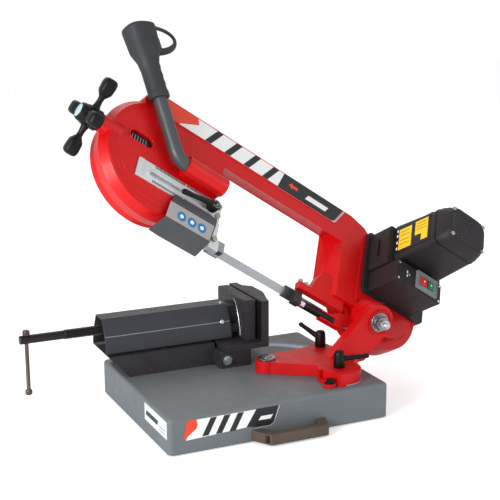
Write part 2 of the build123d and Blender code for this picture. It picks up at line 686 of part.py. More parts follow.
with BuildPart() as switch_plate:
    with BuildSketch(bow(BOX_FRONT)):
        slab(34, 79, 70, 100)
    extrude(amount=4)
    with BuildSketch(bow(BOX_FRONT)):
        for centre in (48, 64.5):
            slab(centre - 7.3, centre + 7.3, 77.2, 92.8)
    extrude(amount=5, mode=Mode.SUBTRACT)
save(switch_plate, "switch_plate")

for button_name, button_s in (("stop_button", 48), ("start_button", 64.5)):
    with BuildPart() as button:
        with BuildSketch(bow(BOX_FRONT - 3)):
            slab(button_s - 6.9, button_s + 6.9, 77.6, 92.4)
        extrude(amount=9.5)
        fillet(button.faces().sort_by(Axis(at(0, 0, 0), OUT))[-1].edges(), 1.2)
    save(button, button_name)

# ---------------------------------------------------------------- wheels, gears and motor rotor


def involute(angle):
    return tan(angle) - angle


def gear_points(teeth, turn):
    """Outline of an external gear: involute flanks with backlash, one tooth centred at turn degrees."""
    pressure = radians(25)
    pitch_r = MODULE * teeth / 2
    base_r = pitch_r * cos(pressure)
    tip_r, root_r = pitch_r + 0.88 * MODULE, pitch_r - 1.25 * MODULE
    half = pi / (2 * teeth) * 0.93 + involute(pressure)
    start = max(base_r, root_r)
    flank = [(root_r, half - involute(acos(base_r / start)))]
    radii = [start + (tip_r - start) * k / 3 for k in range(4)]
    flank += [(r, half - involute(acos(base_r / r))) for r in radii]
    if start == root_r:
        flank = flank[1:]
    points = []
    for tooth in range(teeth):
        centre = radians(turn) + 2 * pi * tooth / teeth
        for r, half_angle in flank:
            points.append((r * cos(centre - half_angle), r * sin(centre - half_angle)))
        for r, half_angle in reversed(flank):
            points.append((r * cos(centre + half_angle), r * sin(centre + half_angle)))
    return points


CENTRE_LINE = degrees(acos((MOTOR_S - DRIVE_S) / GEAR_DISTANCE))


def wheel(name, centre, bore):
    """A band wheel: flanged rim, web with lightening holes and a hub."""
    with BuildPart() as rim:
        with BuildSketch(bow(-6.8)):
            with Locations(centre):
                Circle(WHEEL_R)
                Circle(WHEEL_R - 6, mode=Mode.SUBTRACT)
        extrude(amount=13.6)
        with BuildSketch(bow(6.8)):
            with Locations(centre):
                Circle(WHEEL_R + 4)
                Circle(WHEEL_R - 6, mode=Mode.SUBTRACT)
        extrude(amount=1.8)
        with BuildSketch(bow(-2)):
            with Locations(centre):
                Circle(WHEEL_R - 5)
                with PolarLocations(45, 6):
                    Circle(15, mode=Mode.SUBTRACT)
        extrude(amount=5)
        with BuildSketch(bow(-9)):
            with Locations(centre):
                Circle(18)
        extrude(amount=18)
        with BuildSketch(bow(-10)):
            with Locations(centre):
                Circle(bore)
        extrude(amount=20, mode=Mode.SUBTRACT)
    save(rim, name)


wheel("tension_wheel", (TENSION_S, WHEEL_RISE), PIVOT_R + SHAFT_PLAY)
wheel("drive_wheel", (DRIVE_S, WHEEL_RISE), PIVOT_R)

with BuildPart() as drive_shaft:
    with BuildSketch(bow(-12)):
        with Locations((DRIVE_S, WHEEL_RISE)):
            Circle(PIVOT_R)
    extrude(amount=44)
save(drive_shaft, "drive_shaft")

with BuildPart() as drive_gear:
    with BuildSketch(bow(GEAR_LOW)):
        with Locations((DRIVE_S, WHEEL_RISE)):
            Polygon(*gear_points(GEAR_TEETH, CENTRE_LINE), align=None)
            Circle(PIVOT_R, mode=Mode.SUBTRACT)
            with PolarLocations(40, 6):
                Circle(12, mode=Mode.SUBTRACT)
    extrude(amount=GEAR_HIGH - GEAR_LOW)
save(drive_gear, "drive_gear")

with BuildPart() as motor_rotor:
    for d, radius, length in ((GEAR_LOW - 0.5, 6, 172), (102, 18.5, 54), (171, 24, 10)):
        with BuildSketch(bow(d)):
            with Locations((MOTOR_S, MOTOR_H)):
                Circle(radius)
        extrude(amount=length)
save(motor_rotor, "motor_rotor")

with BuildPart() as motor_pinion:
    with BuildSketch(bow(GEAR_LOW)):
        with Locations((MOTOR_S, MOTOR_H)):
            Polygon(*gear_points(PINION_TEETH, CENTRE_LINE + 180 + 180 / PINION_TEETH), align=None)
            Circle(6, mode=Mode.SUBTRACT)
    extrude(amount=GEAR_HIGH - GEAR_LOW)
save(motor_pinion, "motor_pinion")

# ---------------------------------------------------------------- blade tension
with BuildPart() as tension_carriage:
    with BuildSketch(bow(10)):
        slab(-500, -420, WHEEL_RISE, 106)
        with Locations((TENSION_S, WHEEL_RISE)):
            Circle(17)
        slab(-430, -428, WHEEL_RISE - 1, WHEEL_RISE)
    extrude(amount=9.5)
    with BuildSketch(bow(10)):
        slab(-530, -400, 60, WHEEL_RISE)
    extrude(amount=10, mode=Mode.SUBTRACT)
    with BuildSketch(bow(-12)):
        with Locations((TENSION_S, WHEEL_RISE)):
            Circle(PIVOT_R)
    extrude(amount=22)
    with BuildSketch(along_bow(-470, TENSION_H, TENSION_D)):
        Circle(4)
    extrude(amount=40, mode=Mode.SUBTRACT)
save(tension_carriage, "tension_carriage")

with BuildPart() as tension_spring:
    for washer in range(6):
        with BuildSketch(along_bow(-502 - washer * 3, TENSION_H, TENSION_D)):
            Circle(5.6)
            Circle(4.2, mode=Mode.SUBTRACT)
        extrude(amount=2.4)
save(tension_spring, "tension_spring")

with BuildPart() as tension_screw:
    with BuildSketch(along_bow(-472, TENSION_H, TENSION_D)):
        Circle(3.94)
    extrude(amount=118)
save(tension_screw, "tension_screw")

KNOB_NEAR, KNOB_FAR = -559.5, -595
with BuildPart() as tension_knob:
    with BuildSketch(along_bow(KNOB_NEAR, TENSION_H, TENSION_D)):
        Circle(16.5)
        Circle(3.94, mode=Mode.SUBTRACT)
    extrude(amount=KNOB_NEAR - KNOB_FAR)
    with BuildSketch(along_bow(-568, TENSION_H, TENSION_D)):
        for turn in (0, 90):
            SlotOverall(112, 12, rotation=turn + 50)
    extrude(amount=12)
    with Locations(along_bow(-574, TENSION_H, TENSION_D)):
        with PolarLocations(53, 4, start_angle=50):
            Sphere(12)
    with BuildSketch(along_bow(-472, TENSION_H, TENSION_D)):
        Circle(3.94)
    extrude(amount=118, mode=Mode.SUBTRACT)
save(tension_knob, "tension_knob")

# ---------------------------------------------------------------- blade and its guides
TWIST = 90 - TILT
TWIST_LEFT, STRAIGHT_LEFT, STRAIGHT_RIGHT, TWIST_RIGHT = -412, -322, -130, -40
FIXED_GUIDE, MOVING_GUIDE = (-160, -136), (-320, -300)

with BuildPart() as saw_blade:
    rise = WHEEL_R + 0.5 + BLADE_THICKNESS / 2
    for centre, side in ((TENSION_S, -1), (DRIVE_S, 1)):
        with BuildSketch(bow(-BLADE_WIDTH / 2)):
            with Locations((centre, WHEEL_RISE)):
                Circle(rise + BLADE_THICKNESS / 2)
                Circle(rise - BLADE_THICKNESS / 2, mode=Mode.SUBTRACT)
            with Locations((centre - side * 60, WHEEL_RISE)):
                Rectangle(120, 200, mode=Mode.SUBTRACT)
        extrude(amount=BLADE_WIDTH)
    with BuildSketch(bow(-BLADE_WIDTH / 2)):
        with Locations(((TENSION_S + DRIVE_S) / 2, WHEEL_RISE + rise)):
            Rectangle(DRIVE_S - TENSION_S, BLADE_THICKNESS)
        with Locations(((TENSION_S + TWIST_LEFT) / 2, WHEEL_RISE - rise)):
            Rectangle(TWIST_LEFT - TENSION_S, BLADE_THICKNESS)
        with Locations(((TWIST_RIGHT + DRIVE_S) / 2, WHEEL_RISE - rise)):
            Rectangle(DRIVE_S - TWIST_RIGHT, BLADE_THICKNESS)
    extrude(amount=BLADE_WIDTH)
    for start, finish in ((TWIST_LEFT, STRAIGHT_LEFT), (TWIST_RIGHT, STRAIGHT_RIGHT)):
        for k in range(5):
            s = start + (finish - start) * k / 4
            with BuildSketch(along_bow(s, WHEEL_RISE - rise, 0, TWIST * k / 4)):
                Rectangle(BLADE_WIDTH, BLADE_THICKNESS)
        loft(ruled=True)
    with BuildSketch(along_bow(STRAIGHT_RIGHT, WHEEL_RISE - rise, 0, TWIST)):
        Rectangle(BLADE_WIDTH, BLADE_THICKNESS)
    extrude(amount=STRAIGHT_RIGHT - STRAIGHT_LEFT)
save(saw_blade, "saw_blade")

with BuildPart() as fixed_guide_block:
    with BuildSketch(along_bow(FIXED_GUIDE[1], 0, 0, TWIST)):
        RectangleRounded(20, 18, 2)
        with Locations((-4, 0)):
            Rectangle(23, 1.7, mode=Mode.SUBTRACT)
    extrude(amount=FIXED_GUIDE[1] - FIXED_GUIDE[0])
    with BuildSketch(along_bow(FIXED_GUIDE[1], BAR_H, BAR_D)):
        with Locations((0, 4)):
            RectangleRounded(15, 22, 2)
    extrude(amount=14)
    with BuildSketch(along_bow(FIXED_GUIDE[1] + 1, 0, 0, TWIST)):
        with Locations((-6, 0)):
            Rectangle(27, 1.7)
    extrude(amount=30, mode=Mode.SUBTRACT)
save(fixed_guide_block, "fixed_guide_block")

with BuildPart() as fixed_guide_bar:
    with BuildSketch(along_bow(-62, BAR_H, BAR_D)):
        Circle(BAR_R)
    extrude(amount=64)
save(fixed_guide_bar, "fixed_guide_bar")

with BuildPart() as fixed_guide_bolts:
    with BuildSketch(along_bow(-126, BAR_H, BAR_D)):
        RegularPolygon(7, 6)
    extrude(amount=10)
    for s in (-140, -130):
        with BuildSketch(Plane(origin=at(s, 20, 13), x_dir=ALONG, z_dir=ACROSS)):
            RegularPolygon(4.2, 6)
        extrude(amount=4.5)
save(fixed_guide_bolts, "fixed_guide_bolts")

ARM_BACK, ARM_FRONT, ARM_TRAVEL = 20.3, 28, 110
with BuildPart() as guide_arm:
    with BuildSketch(bow(ARM_BACK)):
        slab(ARM_S0, ARM_S1, ARM_H0, ARM_H1)
        with Locations((LOCK_S - ARM_TRAVEL / 2, LOCK_H)):
            SlotOverall(ARM_TRAVEL + 11, 8, mode=Mode.SUBTRACT)
    extrude(amount=ARM_FRONT - ARM_BACK)
    with BuildSketch(bow(ARM_FRONT)):
        with Locations((LOCK_S - ARM_TRAVEL / 2, LOCK_H)):
            SlotOverall(ARM_TRAVEL + 19, 14)
    extrude(amount=-2, mode=Mode.SUBTRACT)
    chamfer(guide_arm.faces().sort_by(Axis(at(0, 0, 0), OUT))[-1].outer_wire().edges(), 0.8)
save(guide_arm, "guide_arm")

with BuildPart() as guide_bracket:
    with BuildSketch(bow(14)):
        Polygon((-334, ARM_H0), (-334, -18), (-316, -18), (-316, -2), (-322, 8), (-322, ARM_H0), align=None)
    extrude(amount=11)
    with BuildSketch(bow(14)):
        with Locations((-327, 0)):
            Circle(3)
    extrude(amount=12, mode=Mode.SUBTRACT)
save(guide_bracket, "guide_bracket")

with BuildPart() as moving_guide_block:
    with BuildSketch(along_bow(MOVING_GUIDE[1], 0, 0, TWIST)):
        RectangleRounded(19, 16, 2)
        with Locations((-4, 0)):
            Rectangle(22, 1.7, mode=Mode.SUBTRACT)
    extrude(amount=MOVING_GUIDE[1] - MOVING_GUIDE[0])
    with BuildSketch(bow(9)):
        slab(-316, -302, -12, 6)
    extrude(amount=12)
save(moving_guide_block, "moving_guide_block")

with BuildPart() as blade_guard:
    with BuildSketch(along_bow(-330, 0, 0)):
        with BuildLine():
            Polyline((25.6, 29.3), (32, 29.3), (34, 16), (34, -17), (26.2, -48), (27.7, -48.4), (35.5, -17),
                     (35.5, 16.2), (33.3, 30.9), (25.6, 30.9), close=True)
        make_face()
    extrude(amount=120)
    with BuildSketch(bow(20)):
        Polygon(
            (-414, 36), (-332, 36), (-334, 16), (-339, -17), (-356, -52), (-442, -47), (-424, -17),
            align=None,
        )
    extrude(amount=20, mode=Mode.INTERSECT)
save(blade_guard, "blade_guard")

with BuildPart() as guide_bolts:
    for s, h, d in ((-331, 57, ARM_FRONT), (-331, 40, ARM_FRONT), (-327, 0, 25)):
        with BuildSketch(bow(d)):
            with Locations((s, h)):
                RegularPolygon(5, 6)
        extrude(amount=4)
save(guide_bolts, "guide_bolts")

with BuildPart() as guide_lock_lever:
    with BuildSketch(bow(16)):
        with Locations((LOCK_S, LOCK_H)):
            Circle(STUD_R)
    extrude(amount=14)
    with BuildSketch(bow(ARM_FRONT + 0.3)):
        with Locations((LOCK_S, LOCK_H)):
            Circle(9)
    extrude(amount=15, taper=3)
    with BuildSketch(bow(ARM_FRONT + 9)):
        with Locations((LOCK_S - 29, LOCK_H - 5)):
            SlotOverall(68, 9, rotation=10)
    extrude(amount=6)
save(guide_lock_lever, "guide_lock_lever")

# ---------------------------------------------------------------- handle with its trigger
BEND = (-426, TUBE_H)
LEAN = (-0.55, 0.835)
GRIP_START, GRIP_LENGTH, TUBE_END = 104, 122, 150


def on_tube(t, side=0.0):
    """A point t along the straight part of the handle's tube, moved sideways in its plane."""
    return (BEND[0] + LEAN[0] * t + LEAN[1] * side, BEND[1] + LEAN[1] * t - LEAN[0] * side)


def grip_plane(t, side=0.0):
    """The plane square to the handle's tube at t."""
    s, h = on_tube(t, side)
    return Plane(origin=at(s, h, TUBE_D), x_dir=ALONG * LEAN[1] - ACROSS * LEAN[0],
                 z_dir=ALONG * LEAN[0] + ACROSS * LEAN[1])


with BuildPart() as handle_tube:
    with BuildLine(bow(TUBE_D)):
        FilletPolyline((-346, TUBE_H), BEND, on_tube(TUBE_END), radius=34)
    with BuildSketch(along_bow(-346, TUBE_H, TUBE_D)):
        Circle(TUBE_R)
        Circle(TUBE_R - 2, mode=Mode.SUBTRACT)
    sweep()
save(handle_tube, "handle_tube")

GRIP_SECTIONS = ((0, 29, 30), (50, 32, 32), (66, 37, 36), (84, 49, 44), (GRIP_LENGTH, 53, 48))
with BuildPart() as handle_grip:
    for along, wide, deep in GRIP_SECTIONS:
        with BuildSketch(grip_plane(GRIP_START + along)):
            Ellipse(wide / 2, deep / 2)
    loft()
    fillet(handle_grip.faces().sort_by(Axis(at(0, 0, 0), ALONG * LEAN[0] + ACROSS * LEAN[1]))[-1].edges(), 5)
    with BuildLine(bow(TUBE_D)):
        ThreePointArc((-529, 273), (-489.5, 297.5), (-513, 245))
    with BuildSketch(Plane(origin=at(-529, 273, TUBE_D), x_dir=OUT, z_dir=ACROSS)):
        Circle(4)
    sweep(transition=Transition.ROUND)
    with BuildSketch(grip_plane(GRIP_START - 1)):
        Circle(TUBE_R)
    extrude(amount=TUBE_END - GRIP_START + 1.5, mode=Mode.SUBTRACT)
    with BuildSketch(grip_plane(GRIP_START + 84, 20)):
        Rectangle(28, 10)
    extrude(amount=22, mode=Mode.SUBTRACT)
save(handle_grip, "handle_grip")

with BuildPart() as trigger:
    with BuildSketch(grip_plane(GRIP_START + 84.5, 20)):
        with Locations((3.5, 0)):
            RectangleRounded(20, 9.2, 2)
    extrude(amount=21)
save(trigger, "trigger")

with BuildPart() as handle_screws:
    for s in (-390, -363):
        with BuildSketch(Plane(origin=at(s, TUBE_H + 15.5, TUBE_D), x_dir=ALONG, z_dir=ACROSS)):
            Circle(3)
        extrude(amount=1)
save(handle_screws, "handle_screws")

with BuildPart() as cover_screws:
    for s, h, d in COVER_SCREWS:
        with BuildSketch(bow(d)):
            with Locations((s, h)):
                Circle(4)
        extrude(amount=-2.5)
save(cover_screws, "cover_screws")

with BuildPart() as motor_screws:
    for s, h in ((18, 176), (18, 128), (82, 176), (82, 128)):
        with BuildSketch(bow(MOTOR_END)):
            with Locations((s, h)):
                Circle(3)
        extrude(amount=1.6)
save(motor_screws, "motor_screws")

# ---------------------------------------------------------------- bow pivot
with BuildPart() as pivot_shaft:
    with BuildSketch(front_plane(-92)):
        with Locations((PIVOT_X, PIVOT_Z)):
            Circle(PIVOT_R)
    extrude(amount=SHAFT_END - 92)
save(pivot_shaft, "pivot_shaft")

with BuildPart() as pivot_nut:
    for y, radius in ((EAR_FRONT - 2.4, 17), (EAR_FRONT - 5, 13)):
        with BuildSketch(front_plane(y)):
            with Locations((PIVOT_X, PIVOT_Z)):
                Circle(radius)
                Circle(PIVOT_R, mode=Mode.SUBTRACT)
        extrude(amount=2.6)
    with BuildSketch(front_plane(EAR_FRONT - 7.6)):
        with Locations((PIVOT_X, PIVOT_Z)):
            RegularPolygon(13, 6)
            Circle(PIVOT_R, mode=Mode.SUBTRACT)
    extrude(amount=9)
save(pivot_nut, "pivot_nut")
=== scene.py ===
import json
from math import cos, pi, radians, sin

import bmesh
import bpy
from mathutils import Matrix, Vector


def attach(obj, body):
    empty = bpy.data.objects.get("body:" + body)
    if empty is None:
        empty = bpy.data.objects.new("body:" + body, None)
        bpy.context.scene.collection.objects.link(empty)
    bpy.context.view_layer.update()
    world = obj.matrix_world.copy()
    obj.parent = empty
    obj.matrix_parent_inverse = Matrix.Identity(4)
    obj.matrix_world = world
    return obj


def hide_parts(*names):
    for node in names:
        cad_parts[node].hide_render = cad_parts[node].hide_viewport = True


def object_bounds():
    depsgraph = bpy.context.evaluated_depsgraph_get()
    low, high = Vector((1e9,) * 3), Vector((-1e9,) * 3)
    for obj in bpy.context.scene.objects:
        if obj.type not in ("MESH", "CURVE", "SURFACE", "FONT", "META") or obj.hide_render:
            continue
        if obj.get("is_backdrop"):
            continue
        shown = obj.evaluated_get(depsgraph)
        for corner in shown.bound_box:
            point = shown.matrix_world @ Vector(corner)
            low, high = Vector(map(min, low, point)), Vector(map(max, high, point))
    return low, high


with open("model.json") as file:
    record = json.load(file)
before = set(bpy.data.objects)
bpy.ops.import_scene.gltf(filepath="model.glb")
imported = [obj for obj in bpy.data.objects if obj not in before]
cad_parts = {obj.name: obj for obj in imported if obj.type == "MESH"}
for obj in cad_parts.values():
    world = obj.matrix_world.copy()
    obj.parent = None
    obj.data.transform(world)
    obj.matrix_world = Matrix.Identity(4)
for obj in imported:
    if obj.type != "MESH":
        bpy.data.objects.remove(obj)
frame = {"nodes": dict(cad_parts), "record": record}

CAD_BOX = [list(corner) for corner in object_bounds()]

# ---------------------------------------------------------------- places
# Lengths below are in millimetres and become metres when a mesh is made.
# The bow has its own directions: ALONG the blade towards the motor, ACROSS it towards the beam, and OUT of
# the bow's front face. s, h and d are the distances along them from BLADE_FOOT.
MM = 0.001
RAISE, TILT = radians(33), radians(36)
ALONG = Vector((cos(RAISE), 0, -sin(RAISE)))
UPRIGHT = Vector((sin(RAISE), 0, cos(RAISE)))
OUT = Vector((0, -cos(TILT), 0)) + UPRIGHT * sin(TILT)
ACROSS = Vector((0, sin(TILT), 0)) + UPRIGHT * cos(TILT)
BLADE_FOOT = Vector((222, -18, 129)) - UPRIGHT * 33


def at(s, h, d):
    """The place of a point of the bow, from its distances along, across and out."""
    return BLADE_FOOT + ALONG * s + ACROSS * h + OUT * d


def place(origin, x_axis, y_axis):
    """The matrix of a local frame in millimetres, from its origin and first two directions."""
    x_axis, y_axis = Vector(x_axis).normalized(), Vector(y_axis).normalized()
    matrix = Matrix((x_axis, y_axis, x_axis.cross(y_axis))).transposed().to_4x4()
    return Matrix.Translation(Vector(origin)) @ matrix


WORLD = Matrix.Identity(4)
BOW = place(BLADE_FOOT, ALONG, ACROSS)
BASE_FRONT = place((0, -155, 0), (1, 0, 0), (0, 0, 1))
BASE_LEFT = place((-186, 0, 0), (0, -1, 0), (0, 0, 1))
BASE_TOP = 58


# ---------------------------------------------------------------- materials
def linear(*rgb):
    """Linear colour from 8-bit sRGB values."""
    parts = [c / 255 for c in rgb]
    return [c / 12.92 if c <= 0.04045 else ((c + 0.055) / 1.055) ** 2.4 for c in parts] + [1.0]


def surface(name, colour, rough, metallic=0.0, mottle=0.08, size=18.0, grain=0.0, grain_scale=1400.0,
            coat=0.0, stretch=(1, 1, 1), speck=0.0, smudge=0.08, sheen=0.5):
    """A material whose colour drifts, whose gloss varies and whose surface has a fine grain."""
    made = bpy.data.materials.new(name)
    made.use_nodes = True
    nodes, links = made.node_tree.nodes, made.node_tree.links
    shader = nodes["Principled BSDF"]
    shader.inputs["Metallic"].default_value = metallic
    shader.inputs["Coat Weight"].default_value = coat
    shader.inputs["Specular IOR Level"].default_value = sheen
    shader.inputs["Coat Roughness"].default_value = 0.12
    coords = nodes.new("ShaderNodeTexCoord")
    stretched = nodes.new("ShaderNodeMapping")
    stretched.inputs["Scale"].default_value = stretch
    links.new(coords.outputs["Object"], stretched.inputs["Vector"])

    def noise(scale, detail):
        node = nodes.new("ShaderNodeTexNoise")
        node.inputs["Scale"].default_value = scale
        node.inputs["Detail"].default_value = detail
        links.new(stretched.outputs["Vector"], node.inputs["Vector"])
        return node.outputs["Fac"]

    def mix(factor, low, high):
        node = nodes.new("ShaderNodeMix")
        node.data_type = "RGBA"
        links.new(factor, node.inputs["Factor"])
        for socket, value in ((node.inputs[6], low), (node.inputs[7], high)):
            if isinstance(value, list):
                socket.default_value = value
            else:
                links.new(value, socket)
        return node.outputs[2]

    def ramp(factor, low, high, start, end):
        node = nodes.new("ShaderNodeMapRange")
        links.new(factor, node.inputs["Value"])
        for key, value in (("From Min", low), ("From Max", high), ("To Min", start), ("To Max", end)):
            node.inputs[key].default_value = value
        return node.outputs["Result"]

    base = linear(*colour)
    dark = [c * (1 - mottle) for c in base[:3]] + [1.0]
    light = [min(1.0, c * (1 + mottle)) for c in base[:3]] + [1.0]
    drift = noise(size, 4.0)
    tone = mix(ramp(drift, 0.3, 0.7, 0.0, 1.0), dark, light)
    fine = noise(grain_scale, 2.0)
    if speck:
        bright = [min(1.0, c * (1 + speck) + 0.02 * speck) for c in base[:3]] + [1.0]
        tone = mix(ramp(fine, 0.55, 0.75, 0.0, 0.8), tone, bright)
    links.new(tone, shader.inputs["Base Color"])
    worn = noise(size * 3.1, 5.0)
    gloss = ramp(worn, 0.3, 0.7, max(0.03, rough - smudge), min(1.0, rough + smudge))
    links.new(gloss, shader.inputs["Roughness"])
    if grain:
        bump = nodes.new("ShaderNodeBump")
        bump.inputs["Strength"].default_value = min(1.0, grain)
        bump.inputs["Distance"].default_value = 0.0004
        links.new(fine, bump.inputs["Height"])
        links.new(bump.outputs["Normal"], shader.inputs["Normal"])
    return made


BRUSHED = (1, 1, 14)
RED = surface("red_powder_coat", (204, 6, 10), 0.38, grain=0.08, grain_scale=1800, coat=0.1, mottle=0.05,
              sheen=0.3)
RED_GRAINED = surface("red_grained_coat", (200, 8, 12), 0.45, grain=0.4, grain_scale=1100, mottle=0.07,
                      sheen=0.3)
GREY = surface("structured_grey", (102, 108, 112), 0.5, grain=0.55, grain_scale=1250, mottle=0.05,
               speck=0.18)
BLACK_CAST = surface("textured_black_enamel", (43, 41, 45), 0.5, grain=0.9, grain_scale=620, mottle=0.2,
                     speck=1.2, sheen=0.35)
# blackened steel for the vise screw and the lever screws; on the tension carriage it is painted shade seen
# through the housing's window
BLACKENED_STEEL_AND_WINDOW_SHADE = surface("blackened_steel_and_window_shade", (32, 26, 28), 0.38, metallic=0.35, grain=0.35, mottle=0.2, size=40)
BAR_STEEL = surface("browned_steel", (86, 68, 62), 0.4, metallic=0.3, grain=0.3, mottle=0.25, size=50)
SLATE = surface("slate_paint", (44, 47, 54), 0.42, grain=0.25, grain_scale=900, mottle=0.08)
ZINC = surface("bright_zinc", (205, 208, 212), 0.24, metallic=1.0, mottle=0.1, size=160, smudge=0.12)
BRONZE_ZINC = surface("yellow_zinc", (168, 158, 140), 0.3, metallic=1.0, mottle=0.2, size=220)
STEEL = surface("ground_steel", (150, 152, 156), 0.3, metallic=1.0, mottle=0.12, stretch=BRUSHED, grain=0.2)
BLADE = surface("spring_steel", (176, 180, 184), 0.36, metallic=0.85, mottle=0.08, size=60, grain=0.15)
MOTOR = surface("grained_black_plastic", (37, 33, 35), 0.45, grain=0.6, grain_scale=1500, mottle=0.12,
                speck=0.3, sheen=0.3)
# black plastic for the levers and the knob; as flat discs it is also painted shade in holes
BLACK_LEVER_AND_HOLE_SHADE = surface("black_plastic", (13, 11, 12), 0.4, grain=0.3, grain_scale=1700, mottle=0.15,
                speck=0.2, sheen=0.25)
SOFT_GRIP = surface("soft_grey_grip", (48, 51, 55), 0.55, grain=0.45, grain_scale=1300, mottle=0.08,
                    speck=0.15, sheen=0.35)
TUBE = surface("grey_tube_paint", (65, 69, 73), 0.4, grain=0.2, grain_scale=900, mottle=0.06)
BROWN = surface("brown_black_plastic", (78, 66, 54), 0.48, grain=0.4, grain_scale=1300, mottle=0.12,
                speck=0.15)
ALLOY = surface("silver_alloy", (214, 217, 219), 0.36, metallic=0.55, mottle=0.06, grain=0.25,
                grain_scale=900)
GUARD = surface("guard_grey_paint", (66, 68, 72), 0.45, grain=0.45, grain_scale=1500, mottle=0.08, speck=0.25)
RUBBER = surface("black_rubber", (26, 26, 27), 0.8, grain=0.5, grain_scale=700, mottle=0.15)
COPPER = surface("lacquered_copper", (160, 84, 44), 0.35, metallic=1.0, mottle=0.2, size=90)
RED_KEY = surface("red_key_plastic", (206, 34, 40), 0.28, mottle=0.05, grain=0.1)
GREEN_KEY = surface("green_key_plastic", (26, 112, 62), 0.28, mottle=0.05, grain=0.1)
FRAME_PLASTIC = surface("grey_frame_plastic", (120, 126, 130), 0.25, mottle=0.06, grain=0.1, coat=0.4)
VINYL_WHITE = surface("white_vinyl", (240, 241, 242), 0.4, mottle=0.02, grain=0.1)
VINYL_BLACK = surface("black_vinyl", (24, 26, 30), 0.35, mottle=0.1, grain=0.1)
VINYL_ORANGE = surface("orange_vinyl", (232, 66, 36), 0.4, mottle=0.04, grain=0.1)
VINYL_YELLOW = surface("yellow_vinyl", (250, 200, 24), 0.45, mottle=0.04, grain=0.15)
VINYL_BLUE = surface("blue_vinyl", (0, 116, 178), 0.4, mottle=0.04, grain=0.1)
VINYL_NAVY = surface("dark_blue_vinyl", (38, 74, 128), 0.45, mottle=0.06, grain=0.1)
VINYL_PALE = surface("pale_blue_vinyl", (186, 208, 216), 0.42, mottle=0.05, grain=0.1)
# silver print on the colour bands; on the front lug's edge it is a painted highlight
SILVER_VINYL_AND_HIGHLIGHT = surface("silver_vinyl_and_highlight", (188, 191, 194), 0.35, metallic=0.5, mottle=0.05, grain=0.1)
GRILLE = surface("grille_edge_plastic", (96, 92, 98), 0.5, mottle=0.1, grain=0.2)
CAP_BLUE = surface("pale_cap_plastic", (176, 204, 214), 0.25, mottle=0.06, grain=0.1, coat=0.3)
VINYL_GREY = surface("light_grey_vinyl", (160, 158, 160), 0.45, mottle=0.04, grain=0.2)
# lighter slate for the strip on the cover's crease: a painted highlight
SLATE_PAINTED_HIGHLIGHT = surface("slate_painted_highlight", (116, 126, 136), 0.4, mottle=0.06, grain=0.15)

SLOT_LOOKS = {
    "base_paint": GREY, "red_casting": RED, "cast_black": BLACK_CAST, "black_plate": BLACKENED_STEEL_AND_WINDOW_SHADE,
    "cover_slate": SLATE, "zinc": ZINC, "steel": STEEL, "blade_steel": BLADE, "black_plastic": MOTOR,
    "grip_plastic": SOFT_GRIP, "brown_plastic": BROWN, "alloy": ALLOY, "guard_steel": GUARD,
    "red_button": RED_KEY, "green_button": GREEN_KEY, "clear_frame": FRAME_PLASTIC, "rubber": RUBBER,
    "copper": COPPER,
}
OWN_LOOKS = {
    "swivel_arm": RED_GRAINED, "handle_tube": TUBE, "guide_bolts": BRONZE_ZINC,
    "fixed_guide_block": BLACK_CAST, "fixed_guide_bar": BLACK_LEVER_AND_HOLE_SHADE, "moving_guide_block": STEEL,
    # the tension carriage is dark so the housing's window shows dark inside: painted shade
    "stop_screw": BLACK_LEVER_AND_HOLE_SHADE, "trigger": TUBE, "tension_carriage": BLACKENED_STEEL_AND_WINDOW_SHADE,
}

record = frame["record"]
NODE_SLOT = {part["node"]: part["material_slot"] for part in record["subparts"]}
NODE_BODY = {node: body for body, nodes in record["behaviour"]["bodies"].items() for node in nodes}


def look_of(node):
    """The material of a CAD node: its own, or its slot's."""
    return OWN_LOOKS.get(node, SLOT_LOOKS[NODE_SLOT[node]])


for node, cad in frame["nodes"].items():
    cad.data.materials.clear()
    cad.data.materials.append(look_of(node))


# ---------------------------------------------------------------- mesh making
def finish_mesh(mesh, name, body, slot, look, bevel=0.0, smooth=35.0, replaces=()):
    """Links a mesh as a piece of the object, rounds its edges and makes it ride on its body."""
    mesh.materials.clear()
    mesh.materials.append(look)
    mesh.shade_smooth()
    mesh.set_sharp_from_angle(angle=radians(smooth))
    piece = bpy.data.objects.new(name, mesh)
    bpy.context.scene.collection.objects.link(piece)
    if bevel:
        rounding = piece.modifiers.new("rounded_edges", "BEVEL")
        rounding.width = bevel * MM
        rounding.segments = 2
        rounding.limit_method = "ANGLE"
        rounding.angle_limit = radians(32)
        rounding.miter_outer = "MITER_ARC"
        rounding.harden_normals = True
    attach(piece, body)
    if replaces:
        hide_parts(*replaces)
    return piece


def build(name, shells, where, body, slot, look, **extra):
    """A piece from (corners, faces) shells given in a local frame."""
    mesh = bpy.data.meshes.new(name)
    corners, faces = [], []
    for shell_corners, shell_faces in shells:
        start = len(corners)
        corners += [(where @ Vector(corner)) * MM for corner in shell_corners]
        faces += [[start + index for index in face] for face in shell_faces]
    mesh.from_pydata(corners, [], faces)
    shape = bmesh.new()
    shape.from_mesh(mesh)
    bmesh.ops.recalc_face_normals(shape, faces=shape.faces)
    shape.to_mesh(mesh)
    shape.free()
    return finish_mesh(mesh, name, body, slot, look, **extra)


def rounded(node, width):
    """Stands for a CAD node with the same shape and softened edges."""
    mesh = frame["nodes"][node].data.copy()
    shape = bmesh.new()
    shape.from_mesh(mesh)
    bmesh.ops.remove_doubles(shape, verts=shape.verts, dist=1e-6)
    bmesh.ops.dissolve_limit(shape, angle_limit=radians(0.5), verts=shape.verts, edges=shape.edges)
    shape.to_mesh(mesh)
    shape.free()
    if "custom_normal" in mesh.attributes:
        mesh.attributes.remove(mesh.attributes["custom_normal"])
    return finish_mesh(mesh, node + "_shape", NODE_BODY[node], NODE_SLOT[node], look_of(node), bevel=width,
                       replaces=(node,))


